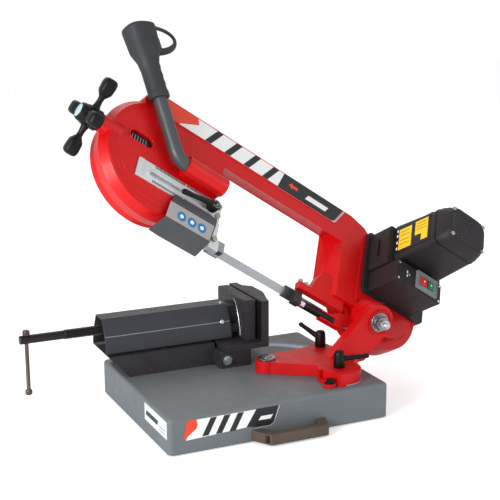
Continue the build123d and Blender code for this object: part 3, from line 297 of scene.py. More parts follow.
def prism(outline, low, high):
    """A solid between two heights of a flat outline."""
    count = len(outline)
    corners = [(x, y, low) for x, y in outline] + [(x, y, high) for x, y in outline]
    sides = [[i, (i + 1) % count, count + (i + 1) % count, count + i] for i in range(count)]
    return corners, sides + [list(range(count))[::-1], list(range(count, 2 * count))]


def block(x0, x1, y0, y1, z0, z1):
    """A box between two limits in each direction."""
    return prism([(x0, y0), (x1, y0), (x1, y1), (x0, y1)], z0, z1)


def arc(centre, radius, start, end, steps=24):
    """Points along a circle's arc, with its angles in degrees."""
    turns = [radians(start + (end - start) * k / steps) for k in range(steps + 1)]
    return [(centre[0] + radius * cos(t), centre[1] + radius * sin(t)) for t in turns]


def disc(centre, radius, low, high, steps=36):
    """A round plate between two heights."""
    return prism(arc(centre, radius, 0, 360 * (steps - 1) / steps, steps - 1), low, high)


def ring_shell(outer, inner, low, high):
    """A closed band between two outlines with the same number of points."""
    count = len(outer)
    corners = [(x, y, z) for z in (low, high) for loop in (outer, inner) for x, y in loop]
    faces = []
    for i in range(count):
        j = (i + 1) % count
        for a, b in ((0, 1), (3, 2), (2, 0), (1, 3)):
            faces.append([a * count + i, a * count + j, b * count + j, b * count + i])
    return corners, faces


def strip(inner, outer, low, high):
    """A curved band between two open lines with the same number of points."""
    return prism(list(outer) + list(inner)[::-1], low, high)


def slot_outline(centre, length, width, steps=10):
    """The outline of a slot with round ends that lies along x."""
    half = (length - width) / 2
    loop = arc((half, 0), width / 2, -90, 90, steps) + arc((-half, 0), width / 2, 90, 270, steps)
    return [(centre[0] + x, centre[1] + y) for x, y in loop]


def loft(rings):
    """A closed skin through rings of points, capped at both ends."""
    count = len(rings[0])
    corners = [corner for ring in rings for corner in ring]
    faces = [list(range(count))[::-1], [len(corners) - count + i for i in range(count)]]
    for k in range(len(rings) - 1):
        for i in range(count):
            j = (i + 1) % count
            faces.append([k * count + i, k * count + j, (k + 1) * count + j, (k + 1) * count + i])
    return corners, faces


def lathe(profile, steps=40, centre=(0, 0)):
    """A turned shape about z, from (radius, height) pairs."""
    rings = []
    for radius, height in profile:
        radius = max(radius, 0.01)
        ring = []
        for k in range(steps):
            turn = 2 * pi * k / steps
            ring.append((centre[0] + radius * cos(turn), centre[1] + radius * sin(turn), height))
        rings.append(ring)
    return loft(rings)


def moved(shell, matrix):
    """A shell carried into another local frame."""
    return [matrix @ Vector(corner) for corner in shell[0]], shell[1]


def tube(points, radii, steps=16, flat=1.0):
    """A round bar along points in space, its radius given at each; flat squeezes it sideways."""
    rings = []
    side = None
    for k, point in enumerate(points):
        ahead = (points[min(k + 1, len(points) - 1)] - points[max(k - 1, 0)]).normalized()
        if side is None:
            side = ahead.orthogonal().normalized()
        side = (side - ahead * side.dot(ahead)).normalized()
        over = ahead.cross(side)
        rings.append([point + side * radii[k] * cos(2 * pi * i / steps)
                      + over * radii[k] * flat * sin(2 * pi * i / steps) for i in range(steps)])
    return loft(rings)


# ---------------------------------------------------------------- CAD nodes with softened edges
# the width of each node's edge rounding
ROUNDINGS = {
    "bow_frame": 1.2, "rear_cover": 1.6, "swivel_arm": 1.6, "base_tray": 0.5, "gear_housing": 1.4,
    "motor_housing": 1.2, "control_box": 1.6, "switch_plate": 0.7, "vise_bed": 1.0, "moving_jaw": 1.2,
    "moving_jaw_plate": 0.3, "fixed_jaw_plate": 0.3, "screw_cover": 0.5, "carry_handle": 1.5,
    "guide_arm": 0.5, "guide_bracket": 1.0, "blade_guard": 0.35, "fixed_guide_block": 0.8,
    "moving_guide_block": 0.8, "fixed_guide_bar": 0.6, "fixed_guide_bolts": 0.6, "guide_bolts": 0.5,
    "vise_nut": 0.8, "trigger": 0.6, "handle_tube": 0.3, "stop_screw": 0.5, "cover_screws": 0.4,
}
for node, width in ROUNDINGS.items():
    rounded(node, width)


# ---------------------------------------------------------------- bow casting details
TENSION_HUB, DRIVE_HUB = (-449, 82), (30, 78)
FACE = 25          # the bow's front face, measured out from the blade


def ridge(name, hub, radius, width, start, end, low, high):
    """A raised line on a wheel housing, concentric with its hub."""
    band = strip(arc(hub, radius, start, end, 48), arc(hub, radius + width, start, end, 48), low, high)
    build(name, [band], BOW, "bow", "red_casting", RED, bevel=0.5)


ridge("tension_ridge_outer", TENSION_HUB, 90, 2.2, 178, 286, FACE - 0.5, FACE + 1.1)
ridge("tension_ridge_middle", TENSION_HUB, 81, 1.8, 180, 286, FACE - 0.5, FACE + 0.9)
ridge("tension_ridge_inner", TENSION_HUB, 72, 1.8, 196, 290, FACE - 0.5, FACE + 0.9)
ridge("tension_crown", TENSION_HUB, 88, 2.4, 112, 160, FACE - 0.5, FACE + 1.0)
ridge("drive_ridge", DRIVE_HUB, 80, 2.0, 236, 330, 11.5, 13.2)

WINDOW = (-488, 97)
rim = ring_shell(slot_outline(WINDOW, 48, 24), slot_outline(WINDOW, 42, 18), FACE - 1, FACE + 1.2)
build("window_rim", [rim], BOW, "bow", "red_casting", RED, bevel=0.5)
coils = [block(s, s + 2.6, 91, 103, 19.4, 21.4) for s in range(-504, -474, 5)]
build("window_spring", coils, BOW, "carriage", "zinc", STEEL, bevel=0.9)
post_rib = prism([(-29, 152), (-26, 152), (-27, 30), (-30, 30)], FACE - 0.5, FACE + 0.8)
build("post_rib", [post_rib], BOW, "bow", "red_casting", RED, bevel=0.45)
beam_edge = block(-440, -96, 159.5, 161.5, FACE - 0.5, FACE + 0.9)
build("beam_edge", [beam_edge], BOW, "bow", "red_casting", RED, bevel=0.4)
# black discs stand for the set-screw holes and a smaller hole: painted shade where the holes are
hole_shade_discs = [disc(centre, 2.4, FACE, FACE + 0.15, 20) for centre in ((-388, 114), (-361, 114.5))]
hole_shade_discs += [disc((-480, 57.5), 1.6, 20.2, 20.5, 16)]
build("set_screw_hole_shade", hole_shade_discs, BOW, "bow", "black_plastic", BLACK_LEVER_AND_HOLE_SHADE)
recess_plate = prism([(-490, 35), (-486, 68), (-470, 68), (-476, 35)], 19.6, 20.2)
build("recess_plate", [recess_plate], BOW, "bow", "red_casting", RED_GRAINED, bevel=0.15)
casting_mark = [lathe([(4.2, FACE - 0.2), (4.2, FACE + 0.3), (3.2, FACE + 0.5), (0, FACE + 0.5)], 28,
                      (-84, 120))]
build("ejector_mark", casting_mark, BOW, "bow", "red_casting", RED_GRAINED)

# the beam's colour band: plain shapes only
BAND_LOW, BAND_HIGH = 164, 195
FILM = 0.25        # thickness of a layer of vinyl
SCALE_FILM = 0.15  # thinner on the angle scale, which the swivel arm passes over
SLASH_LEAN = 20


def film(name, outlines, look, layer=0, body="bow", where=BOW, face=FACE, slot="base_paint"):
    """Thin vinyl shapes on a face, stacked by layer."""
    low = face + layer * FILM
    build(name, [prism(outline, low, low + FILM) for outline in outlines], where, body, slot, look)


band_white = [(-432, BAND_LOW), (-399, BAND_HIGH), (-214, BAND_HIGH), (-224, BAND_LOW)]
film("beam_band_white", [band_white], VINYL_WHITE)
band_orange = [(-464, BAND_HIGH), (-400, BAND_HIGH), (-396, 184), (-434, BAND_LOW), (-444, BAND_LOW)]
film("beam_band_orange", [band_orange], VINYL_ORANGE, layer=1)
band_black = [(-216, 196), (-82, 196), (-98, 167), (-104, 163), (-226, 163)]
film("beam_band_black", [band_black], VINYL_BLACK, layer=1)
band_edge = [(-80, 196), (-76, 196), (-94, 164), (-102, 159.5), (-226, 159.5), (-226, 162), (-104, 162),
             (-96.5, 166)]
film("beam_band_edge", [band_edge], SILVER_VINYL_AND_HIGHLIGHT, layer=1)


def slash(foot, low, high, width):
    """A slanted bar in a colour band."""
    return [(foot, low), (foot + width, low), (foot + width + SLASH_LEAN, high), (foot + SLASH_LEAN, high)]


slashes = [slash(foot, BAND_LOW, BAND_HIGH, 12) for foot in (-380, -340, -300, -260)]
film("beam_band_slashes", slashes, VINYL_BLACK, layer=1)
film("beam_band_marks", [[(-166, 172), (-120, 172), (-114, 182), (-160, 182)]], VINYL_WHITE, layer=2)
arrow = [(-204, 180), (-196, 186.5), (-196, 183), (-184, 183), (-184, 177), (-196, 177), (-196, 173.5)]
film("blade_direction_arrow", [arrow], VINYL_ORANGE, layer=2)

# ---------------------------------------------------------------- tension knob
# the knob's z points away from the motor, along the tension screw
KNOB = place(at(-559.5, 90, 15), OUT, ACROSS)
HUB = [(4.2, 0), (15, 0), (16.4, 1.4), (16.4, 23), (15, 26), (14.2, 32), (12.6, 35), (0, 35.2)]
# reach and half width of an arm; its end is a block with rounded corners
ARM = [(8, 8), (14, 7.4), (20, 5.6), (27, 4.7), (33, 5.2), (38, 8.2), (41, 10.2), (44, 11), (55, 11.6),
       (60, 11), (63, 9.2), (64.6, 5.5), (64.8, 0.1)]
ARM_BLOCK = 37     # from this reach on, the arm's section is squarish


def knob_arm(turn, along):
    """An arm square to the hub, at an angle in degrees and a height along the hub."""
    direction = Vector((cos(radians(turn)), sin(radians(turn)), 0))
    aside = direction.cross((0, 0, 1))
    rings = []
    for reach, half in ARM:
        power = 4.0 if reach > ARM_BLOCK else 2.2
        ring = []
        for k in range(32):
            x, y = cos(2 * pi * k / 32), sin(2 * pi * k / 32)
            grow = half * (abs(x) ** power + abs(y) ** power) ** (-1 / power)
            ring.append(direction * reach + aside * x * grow * 0.94 + Vector((0, 0, along + y * grow * 0.94)))
        rings.append(ring)
    return loft(rings)


knob_shells = [lathe(HUB, 48)]
knob_shells += [knob_arm(turn, along) for turn, along in ((50, 14.5), (230, 14.5), (140, 22.5), (320, 22.5))]
build("tension_knob_shape", knob_shells, KNOB, "knob", "black_plastic", BLACK_LEVER_AND_HOLE_SHADE, smooth=50,
      replaces=("tension_knob",))
cap = [lathe([(10.5, 35), (10.5, 35.8), (9.8, 36.3), (0, 36.5)], 36)]
build("tension_knob_cap", cap, KNOB, "knob", "clear_frame", CAP_BLUE)
collar = [lathe([(4.1, -2.4), (9.5, -2.4), (10.5, -1.8), (10.5, -0.5), (4.1, -0.4)], 36)]
build("tension_collar", collar, KNOB, "knob", "zinc", ZINC)

# domed nuts on the fixed guide's bracket
BRACKET_TOP = place(at(0, 0, 0), OUT, ALONG)
for nut_name, s in (("bracket_nut_left", -141), ("bracket_nut_right", -129)):
    dome = [lathe([(5.4, 19.5), (5.4, 21.2), (4.4, 21.4), (4.4, 25), (3.4, 27.2), (0, 28)], 24, (14, s))]
    build(nut_name, dome, BRACKET_TOP, "bow", "zinc", ZINC, smooth=40)

# ---------------------------------------------------------------- handle grip
# the tube's bend, its distance out, and the direction of its straight part in the bow's plane
BEND, TUBE_D, LEAN = (-426, 84), 41.6, (-0.55, 0.835)
GRIP = place(at(*BEND, TUBE_D), ALONG * LEAN[1] - ACROSS * LEAN[0], -OUT)
# height along the tube, half width, half depth
GRIP_SECTIONS = [(104, 15.6, 14.5), (105.5, 17.2, 15.4), (112, 17.4, 15.8), (116, 16.4, 15.4), (154, 16, 16),
                 (170, 18.4, 17.6), (188, 24.2, 21.6), (222, 26.4, 23.8), (227, 25.6, 22.9), (229, 22, 19.5)]
GROOVES_START, GROOVES_END, GROOVE_PITCH = 114, 168, 13.5


def between(sections, t):
    """The section at t, straight between its neighbours."""
    for low, high in zip(sections, sections[1:]):
        if t <= high[0]:
            share = (t - low[0]) / (high[0] - low[0])
            return [a + (b - a) * share for a, b in zip(low[1:], high[1:])]
    return list(sections[-1][1:])


def grip_ring(t, steps=56):
    """The grip's outline at t: finger grooves low down, a squarer head above."""
    half_wide, half_deep = between(GRIP_SECTIONS, t)
    ring = []
    for k in range(steps):
        turn = 2 * pi * k / steps
        groove = 0.0
        if GROOVES_START < t < GROOVES_END:
            wave = 0.5 - 0.5 * cos(2 * pi * (t - GROOVES_START) / GROOVE_PITCH)
            groove = 3.2 * max(0, cos(turn)) ** 2 * wave
        x, y = cos(turn), sin(turn)
        square = (abs(x) ** 2.6 + abs(y) ** 2.6) ** (-1 / 2.6) if t > 170 else 1.0
        blend = min(1.0, max(0.0, (t - 166) / 18))
        stretch = 1 + (square - 1) * blend
        ring.append(((half_wide * stretch - groove) * x, half_deep * stretch * y, t))
    return ring


levels = [104 + k * 1.25 for k in range(100)] + [229]
grip_shells = [loft([grip_ring(t) for t in levels])]
# guard ring round the trigger: an arc that starts and ends inside the grip's head
RING_LOW, RING_HIGH, RING_ROOT, RING_REACH = 186, 230, 22, 68
ring_middle = (RING_LOW + RING_HIGH) / 2
ring_points = []
for k in range(33):
    turn = radians(-96 + 192 * k / 32)
    ring_points.append(Vector((RING_ROOT + (RING_REACH - RING_ROOT) * max(-0.12, cos(turn)), 0,
                               ring_middle + (RING_HIGH - RING_LOW) / 2 * sin(turn))))
grip_shells.append(tube(ring_points, [2.8] * len(ring_points), 16, 2.2))
build("handle_grip_shape", grip_shells, GRIP, "bow", "grip_plastic", SOFT_GRIP, smooth=50,
      replaces=("handle_grip",))

# ---------------------------------------------------------------- clamp levers and the guide's lock
LEVER_HUB = [(4.9, -8), (4.9, 0.3), (8.6, 0.3), (9.2, 1.2), (9.0, 12), (8.5, 21), (7.9, 25), (6.2, 27),
             (0, 27.3)]
LEVER_REACH = 46
# share of the reach and radius along the lever's arm
LEVER_ARM = [(0.0, 5.0), (0.2, 4.8), (0.5, 4.2), (0.8, 3.6), (0.92, 3.8), (0.98, 4.1), (1.04, 3.6),
             (1.07, 2.0)]
SWIVEL_TOP = 78    # top face of the swivel arm
FRONT_LUG = (124, -105)


def clamp_lever(node, spot, heading, rise, body):
    """A clamp lever on the swivel arm, its arm pointing at a heading and rising, both in degrees."""
    shells = [lathe(LEVER_HUB, 36)]
    heading, rise = radians(heading), radians(rise)
    direction = Vector((cos(heading) * cos(rise), sin(heading) * cos(rise), sin(rise)))
    start = Vector((0, 0, 14))
    points = [start + direction * LEVER_REACH * share for share, _ in LEVER_ARM]
    shells.append(tube(points, [radius for _, radius in LEVER_ARM], 20, 0.85))
    foot = Matrix.Translation((*spot, SWIVEL_TOP))
    build(node + "_shape", shells, foot, body, "black_plastic", BLACK_LEVER_AND_HOLE_SHADE, smooth=50, replaces=(node,))
    build(node + "_screw", [lathe([(3.0, 26.8), (3.0, 27.9), (2.2, 28.3), (0, 28.3)], 24)], foot, body,
          "black_plastic", BLACKENED_STEEL_AND_WINDOW_SHADE)


clamp_lever("front_clamp_lever", FRONT_LUG, -15, 3, "front_lever")
clamp_lever("rear_clamp_lever", (149, 4), 112, 20, "rear_lever")

LOCK = (-345, 48)
lock_hub = [(3.6, 16), (3.6, 28.3), (9.2, 28.4), (9.4, 30), (8.8, 41), (8.0, 43), (0, 43)]
# the arm rises slightly towards its end, which keeps it clear of the guard's label
lock_arm = [at(LOCK[0] - reach, LOCK[1] - reach * 0.17, 39.5 + reach * 0.045)
            for reach in (0, 12, 30, 48, 58, 62, 64)]
lock_shells = [lathe(lock_hub, 36, LOCK)]
to_bow = BOW.inverted()
lock_shells.append(tube([to_bow @ point for point in lock_arm], [5.4, 5.0, 4.0, 3.9, 4.5, 4.2, 2.5], 20, 0.8))
build("guide_lock_shape", lock_shells, BOW, "guide_lever", "black_plastic", BLACK_LEVER_AND_HOLE_SHADE, smooth=50,
      replaces=("guide_lock_lever",))
lock_face = [ring_shell(arc(LOCK, 6.6, 0, 350, 35), arc(LOCK, 5.2, 0, 350, 35), 42.8, 43.5),
             disc(LOCK, 3.2, 42.8, 43.6, 28)]
build("guide_lock_face", lock_face, BOW, "guide_lever", "zinc", STEEL)

# ---------------------------------------------------------------- guide arm scale and guard marks
ARM_FACE = 28      # front face of the guide arm
ARM_LEFT, ARM_RIGHT, ARM_LOW, ARM_HIGH = -485, -325, 31, 64
TICK_STEP, TICK_INK = 2.6, 0.12
ticks = []
for k in range(46):
    if k % 23 == 22:
        continue
    s = ARM_LEFT + 30 + k * TICK_STEP
    ticks.append(block(s, s + 1.5, ARM_HIGH - 5.6, ARM_HIGH - 1.2, ARM_FACE, ARM_FACE + TICK_INK))
    ticks.append(block(s, s + 1.5, ARM_LOW + 1.2, ARM_LOW + 5.6, ARM_FACE, ARM_FACE + TICK_INK))
build("guide_scale", ticks, BOW, "guide", "black_plastic", VINYL_BLACK)
slot_middle = (LOCK[0] - 55, LOCK[1])
slot_frame = ring_shell(slot_outline(slot_middle, 138, 20), slot_outline(slot_middle, 129, 14.4),
                        ARM_FACE - 0.2, ARM_FACE + 1.2)
build("guide_slot_frame", [slot_frame], BOW, "guide", "alloy", ALLOY, bevel=0.4)
slot_floor = [block(ARM_LEFT + 1, ARM_RIGHT - 12, ARM_LOW + 2, ARM_HIGH - 2, 20.02, 20.22)]
build("guide_slot_floor", slot_floor, BOW, "bow", "alloy", ALLOY)
end_stop = [block(ARM_LEFT + 2, ARM_LEFT + 9, ARM_LOW + 1, ARM_HIGH - 1, ARM_FACE - 0.2, ARM_FACE + 1.4)]
build("guide_end_stop", end_stop, BOW, "guide", "alloy", ALLOY, bevel=0.5)

GUARD_FACE = 35.5  # front face of the blade guard
SIGNS = ((-396.6, -1.5), (-377, -1.8), (-358, -1.6))


def guard_film(name, outlines, look, layer, slot):
    """Vinyl on the guard's front face."""
    film(name, outlines, look, layer=layer, body="guide", face=GUARD_FACE, slot=slot)


guard_film("guard_strip", [[(-420.5, 14.2), (-337, 14.2), (-340.5, -15.2), (-423.5, -15.2)]], VINYL_GREY, 0,
           "guard_steel")
guard_film("guard_signs", [arc(centre, 8, 0, 350, 35) for centre in SIGNS], VINYL_BLUE, 1, "clear_frame")
guard_film("guard_sign_dots", [arc(centre, 3.4, 0, 345, 23) for centre in SIGNS], VINYL_WHITE, 2,
           "clear_frame")

# ---------------------------------------------------------------- motor and controls
MOTOR_MIDDLE = (50, 152)


def corner_box(half_s, half_h, radius, steps=8):
    """A rounded rectangle about the motor's middle."""
    loop = []
    for sx, sy, start in ((1, 1, 0), (-1, 1, 90), (-1, -1, 180), (1, -1, 270)):
        centre = (MOTOR_MIDDLE[0] + sx * (half_s - radius), MOTOR_MIDDLE[1] + sy * (half_h - radius))
        loop += arc(centre, radius, start, start + 90, steps)
    return loop


def level(loop, d):
    """A flat outline's points at one distance out."""
    return [(x, y, d) for x, y in loop]


cap_rings = [level(corner_box(47, 35, 14), 168), level(corner_box(46.4, 34.8, 14.5), 176),
             level(corner_box(44, 33.6, 17), 187), level(corner_box(41, 31.8, 19), 194.5),
             level(corner_box(39.4, 30.6, 19), 197)]
build("motor_end_cap_shape", [loft(cap_rings)], BOW, "bow", "black_plastic", MOTOR, smooth=40,
      replaces=("motor_end_cap",))
grille = []
for k in range(17):
    h = MOTOR_MIDDLE[1] - 27 + k * 3.4
    inset = max(0.0, abs(h - MOTOR_MIDDLE[1]) - 14) * 0.55
    left, right = MOTOR_MIDDLE[0] - 36 + inset, MOTOR_MIDDLE[0] + 36 - inset
    grille.append(block(left, right, h - 0.4, h + 0.4, 196.6, 198.2))
build("motor_grille", grille, BOW, "bow", "black_plastic", GRILLE)
grille_posts = [block(s - 0.9, s + 0.9, MOTOR_MIDDLE[1] - 28, MOTOR_MIDDLE[1] + 28, 196.6, 198.5)
                for s in range(18, 86, 5)]
build("motor_grille_posts", grille_posts, BOW, "bow", "black_plastic", MOTOR)
seam = ring_shell(corner_box(47.6, 35.6, 14), corner_box(46.2, 34.2, 13), 165.8, 168.4)
build("motor_seam", [seam], BOW, "bow", "black_plastic", BLACK_LEVER_AND_HOLE_SHADE, bevel=0.3)
fins = [block(s, s + 2.2, MOTOR_MIDDLE[1] + 34, MOTOR_MIDDLE[1] + 39, 80, 150) for s in range(12, 92, 7)]
build("motor_fins", fins, BOW, "bow", "black_plastic", MOTOR, bevel=0.5)
screws = [lathe([(3.6, 196.4), (3.6, 198), (2.9, 198.6), (1.4, 198.6), (1.2, 197.6), (0, 197.6)], 24, centre)
          for centre in ((15, 177), (15, 127), (85, 177), (85, 127))]
build("motor_screws_shape", screws, BOW, "bow", "zinc", ZINC, replaces=("motor_screws",))

# label plates on the motor's side that faces the tension wheel
# turned by the motor housing's taper
SIDE_FRAME = place(at(-1.2, MOTOR_MIDDLE[1], 77), OUT, ACROSS) @ Matrix.Rotation(radians(2.5), 4, "Y")


def label_film(name, outlines, look, layer):
    """Vinyl on the motor's side."""
    film(name, outlines, look, layer=layer, where=SIDE_FRAME, face=0)


label_film("motor_label_backing", [[(3, -25), (78, -25), (78, 25), (3, 25)]], VINYL_BLACK, 0)
yellows = [[(10, -22), (38, -22), (38, 20), (10, 20)],
           [(46, -6), (60, -6), (60, -20), (74, -20), (74, 22), (46, 22)]]
label_film("motor_label_yellow", yellows, VINYL_YELLOW, 1)
rules = [[(14, h), (34, h), (34, h + 0.7), (14, h + 0.7)] for h in (-12, -4, 6, 13)]
rules += [[(49, h), (71, h), (71, h + 0.7), (49, h + 0.7)] for h in (4, 10, 16)]
label_film("motor_label_rules", rules, VINYL_BLACK, 2)
dots = [[(5, h), (8, h), (8, h + 5), (5, h + 5)] for h in (-20, -8, 6, 16)]
label_film("motor_label_dots", dots, VINYL_WHITE, 1)

BOX_FACE = 100     # front face of the control box
KEY_FACE = 106.4   # front faces of the two keys
switch_rim = ring_shell([(32.5, 68.5), (80.5, 68.5), (80.5, 101.5), (32.5, 101.5)],
                        [(34.4, 70.4), (78.6, 70.4), (78.6, 99.6), (34.4, 99.6)], BOX_FACE, BOX_FACE + 5.4)
build("switch_rim", [switch_rim], BOW, "bow", "clear_frame", FRAME_PLASTIC, bevel=0.6)
ribs = [block(s, s + 1.2, 68.9, 70.2, BOX_FACE + 5, BOX_FACE + 6) for s in range(34, 80, 3)]
build("switch_rim_ribs", ribs, BOW, "bow", "clear_frame", FRAME_PLASTIC)
BOX_SCREW = [(2.4, BOX_FACE - 0.2), (2.4, BOX_FACE + 0.9), (1.8, BOX_FACE + 1.3), (0, BOX_FACE + 1.3)]
box_screws = [lathe(BOX_SCREW, 20, centre) for centre in ((-6, 99), (-6, 69), (89, 99), (89, 69))]
build("control_box_screws", box_screws, BOW, "bow", "zinc", ZINC)
for key_name, key_body, s in (("stop_key_dot", "stop_button", 48), ("start_key_dot", "start_button", 64.5)):
    dot = [lathe([(1.6, KEY_FACE), (1.6, KEY_FACE + 0.4), (0, KEY_FACE + 0.4)], 24, (s, 85))]
    build(key_name, dot, BOW, key_body, "clear_frame", VINYL_WHITE)
lamp_marks = [[(12, 86), (14, 86), (14, 91), (12, 91)], [(12, 79), (14, 79), (14, 83), (12, 83)],
              [(17, 84), (19, 84), (19, 86), (17, 86)]]
film("indicator_marks", lamp_marks, VINYL_WHITE, face=BOX_FACE)

# ---------------------------------------------------------------- blade teeth
# the guides twist the free run of the blade, so its teeth point away from BLADE_BACK
TOOTH_PITCH, TOOTH_HEIGHT, FREE_RUN = 2.6, 1.5, 192
BLADE_TWIST = pi / 2 - TILT
BLADE_BACK = OUT * cos(BLADE_TWIST) + ACROSS * sin(BLADE_TWIST)
TEETH = place(at(-322, 0, 0), ALONG, -BLADE_BACK)
teeth = []
for k in range(int(FREE_RUN / TOOTH_PITCH)):
    s = k * TOOTH_PITCH
    tip = (s + TOOTH_PITCH * 0.85, 6.5 + TOOTH_HEIGHT)
    teeth.append(prism([(s, 6.4), (s + TOOTH_PITCH, 6.4), tip], -0.42, 0.42))
build("blade_teeth", teeth, TEETH, "bow", "blade_steel", BLADE)

# ---------------------------------------------------------------- vise
SCREW_Y = 92
SCREW = place((0, SCREW_Y, 130), (0, 1, 0), (0, 0, 1))
thread = [(0, -340), (6.4, -340), (7, -339), (7, -268), (8, -267)]
x = -267
while x < -206:
    thread += [(8.0, x), (8.0, x + 1.0), (6.9, x + 1.8), (6.9, x + 2.4)]
    x += 3.2
thread += [(7.9, -205), (7.9, 12), (0, 12)]
build("vise_screw_shape", [lathe(thread, 40)], SCREW, "screw", "black_plate", BLACKENED_STEEL_AND_WINDOW_SHADE, smooth=30,
      replaces=("vise_screw",))
tee = [(0, 38), (3.4, 38.2), (5.2, 39.6), (5.9, 42), (5.6, 45), (4.0, 47.5), (3.19, 48.5), (3.19, 137.3),
       (5.2, 137.3), (5.8, 138.6), (5.8, 143), (4.6, 145), (0, 145.3)]
build("tee_bar_shape", [lathe(tee, 32)], Matrix.Translation((-329, SCREW_Y, 0)), "tee_bar", "black_plate",
      BAR_STEEL, smooth=40, replaces=("tee_bar",))
# a lighter slate strip along the cover's middle crease: a painted highlight on the edge between two facets
CREASE = place((0, 62.15, 125), (1, 0, 0), (0, 10, 24))
crease_highlight = [block(-209, 8, -0.8, 0.8, -0.2, 0.35)]
build("cover_crease_highlight", crease_highlight, CREASE, "jaw", "cover_slate", SLATE_PAINTED_HIGHLIGHT, bevel=0.3)
cover_heads = [moved(lathe([(3.9, -0.2), (3.9, 1.2), (3.1, 2.0), (1.6, 2.0), (1.4, 1.1), (0, 1.1)], 24),
                     Matrix.Translation((-6, 22, 0)))]
build("cover_side_screw", cover_heads, place((0, 56, 104), (1, 0, 0), (0, 6, 21)), "jaw", "zinc", ZINC)
top_head = [lathe([(3.9, 151.8), (3.9, 153.2), (3.0, 154), (1.5, 154), (1.3, 153), (0, 153)], 24, (0, 82))]
build("cover_top_screw", top_head, WORLD, "jaw", "zinc", ZINC)
bead_points = [Vector((23.8, SCREW_Y + y, z))
               for y, z in ((-38, 100), (-37, 112), (-31, 130), (-19, 154), (-12, 157))]
build("cover_bead", [tube(bead_points, [1.1] * len(bead_points), 10)], WORLD, "jaw", "zinc", ZINC, smooth=60)

# ---------------------------------------------------------------- swivel arm details
SWIVEL = (38, -18)
PIN = Matrix.Translation((*SWIVEL, 0))
pin = [(0, 50), (7.4, 50), (7.4, 78.4), (14, 78.4), (14.6, 79), (14.6, 81), (14, 81.5), (8, 81.5),
       (7.4, 80.8), (6.6, 80.6), (6.2, 81.6), (4.0, 81.6), (3.6, 79.6), (0, 79.6)]
build("swivel_pin_shape", [lathe(pin, 48)], PIN, "base", "zinc", STEEL, smooth=30, replaces=("swivel_pin",))
# a bright silver strip along the lower edge of the front lug: a painted highlight
lug_edge_highlight = strip(arc(FRONT_LUG, 34.2, 215, 330, 40), arc(FRONT_LUG, 35.6, 215, 330, 40), 58.6, 60)
build("lug_edge_highlight", [lug_edge_highlight], WORLD, "swivel", "zinc", SILVER_VINYL_AND_HIGHLIGHT, bevel=0.2)
EAR = place((222, -64, 129), (1, 0, 0), (0, 0, 1))
pivot = [(0, -91), (7.9, -91), (7.9, 3), (6.3, 4)]
z = 14.6
while z < 25:
    pivot += [(6.3, z), (6.3, z + 0.5), (5.5, z + 1.0), (5.5, z + 1.4)]
    z += 1.9
pivot += [(5.6, 26), (4.2, 27.4), (0, 28)]
build("pivot_shaft_shape", [lathe(pivot, 40)], EAR, "bow", "steel", ZINC, smooth=30,
      replaces=("pivot_shaft",))
nut = [lathe([(8.1, 0.4), (15.4, 0.4), (16, 0.9), (16, 2.3), (15.4, 2.9), (8.1, 2.9)], 40),
       lathe([(8.1, 3.0), (11.8, 3.0), (12.2, 3.4), (12.2, 5.0), (11.8, 5.5), (8.1, 5.5)], 40),
       prism(arc((0, 0), 12.6, 0, 300, 5), 5.6, 14.4)]
build("pivot_nut_shape", nut, EAR, "bow", "zinc", STEEL, bevel=0.7, replaces=("pivot_nut",))
ear_ring = [ring_shell(arc((0, 0), 23, 0, 352.5, 47), arc((0, 0), 21.4, 0, 352.5, 47), -2.4, -0.6)]
build("ear_ring", ear_ring, EAR, "swivel", "red_casting", RED_GRAINED, bevel=0.5)
# a black disc in the ear stands for a small hole: painted shade
ear_hole_shade = [disc((-2, 20), 1.9, -1.9, -1.2, 20)]
build("ear_hole_shade", ear_hole_shade, EAR, "swivel", "black_plastic", BLACK_LEVER_AND_HOLE_SHADE)

# ---------------------------------------------------------------- base: decals and angle scale
def base_film(name, outlines, look, layer, where=BASE_FRONT):
    """Vinyl on a side of the base."""
    film(name, outlines, look, layer=layer, body="base", where=where, face=0)


base_film("base_band_white", [[(-160, 22), (-142, 52), (-46, 52), (-62, 26)]], VINYL_WHITE, 0)
base_film("base_band_orange", [[(-165, 22), (-157, 53), (-143, 53), (-141, 44), (-143, 38)]], VINYL_ORANGE, 1)
base_black = [(-45, 52.5), (-8, 52.5), (-17, 27), (-23, 24), (-46, 24), (-62, 26.5)]
base_film("base_band_black", [base_black], VINYL_BLACK, 1)
base_edge = [(-8, 52.5), (-5.8, 52.5), (-15.4, 25.4), (-22.4, 21.8), (-48, 21.8), (-48, 23.2), (-23, 23.2),
             (-16.8, 26.4)]
base_film("base_band_edge", [base_edge], SILVER_VINYL_AND_HIGHLIGHT, 1)
base_slashes = [[(foot, 24.5), (foot + 10, 24.5), (foot + 24, 51.5), (foot + 14, 51.5)]
                for foot in (-134, -112, -90)]
base_film("base_band_slashes", base_slashes, VINYL_BLACK, 1)
base_film("base_band_marks", [[(-42, 34), (-22, 34), (-18, 40), (-38, 40)]], VINYL_WHITE, 2)
base_film("base_plate_pale", [[(52, 24), (147, 24), (147, 52), (52, 52)]], VINYL_PALE, 0, BASE_LEFT)
base_film("base_plate_white", [[(54, 26), (145, 26), (145, 50), (54, 50)]], VINYL_WHITE, 1, BASE_LEFT)
plate_bars = [[(58, 34), (108, 34), (112, 42), (62, 42)],
              [(114, 30), (140, 30), (140, 31.2), (114, 31.2)],
              [(114, 35), (140, 35), (140, 36.2), (114, 36.2)]]
base_film("base_plate_bars", plate_bars, VINYL_BLACK, 2, BASE_LEFT)


SCALE_START, SCALE_DEGREES, SCALE_OUTER = 22, 60, 148.5


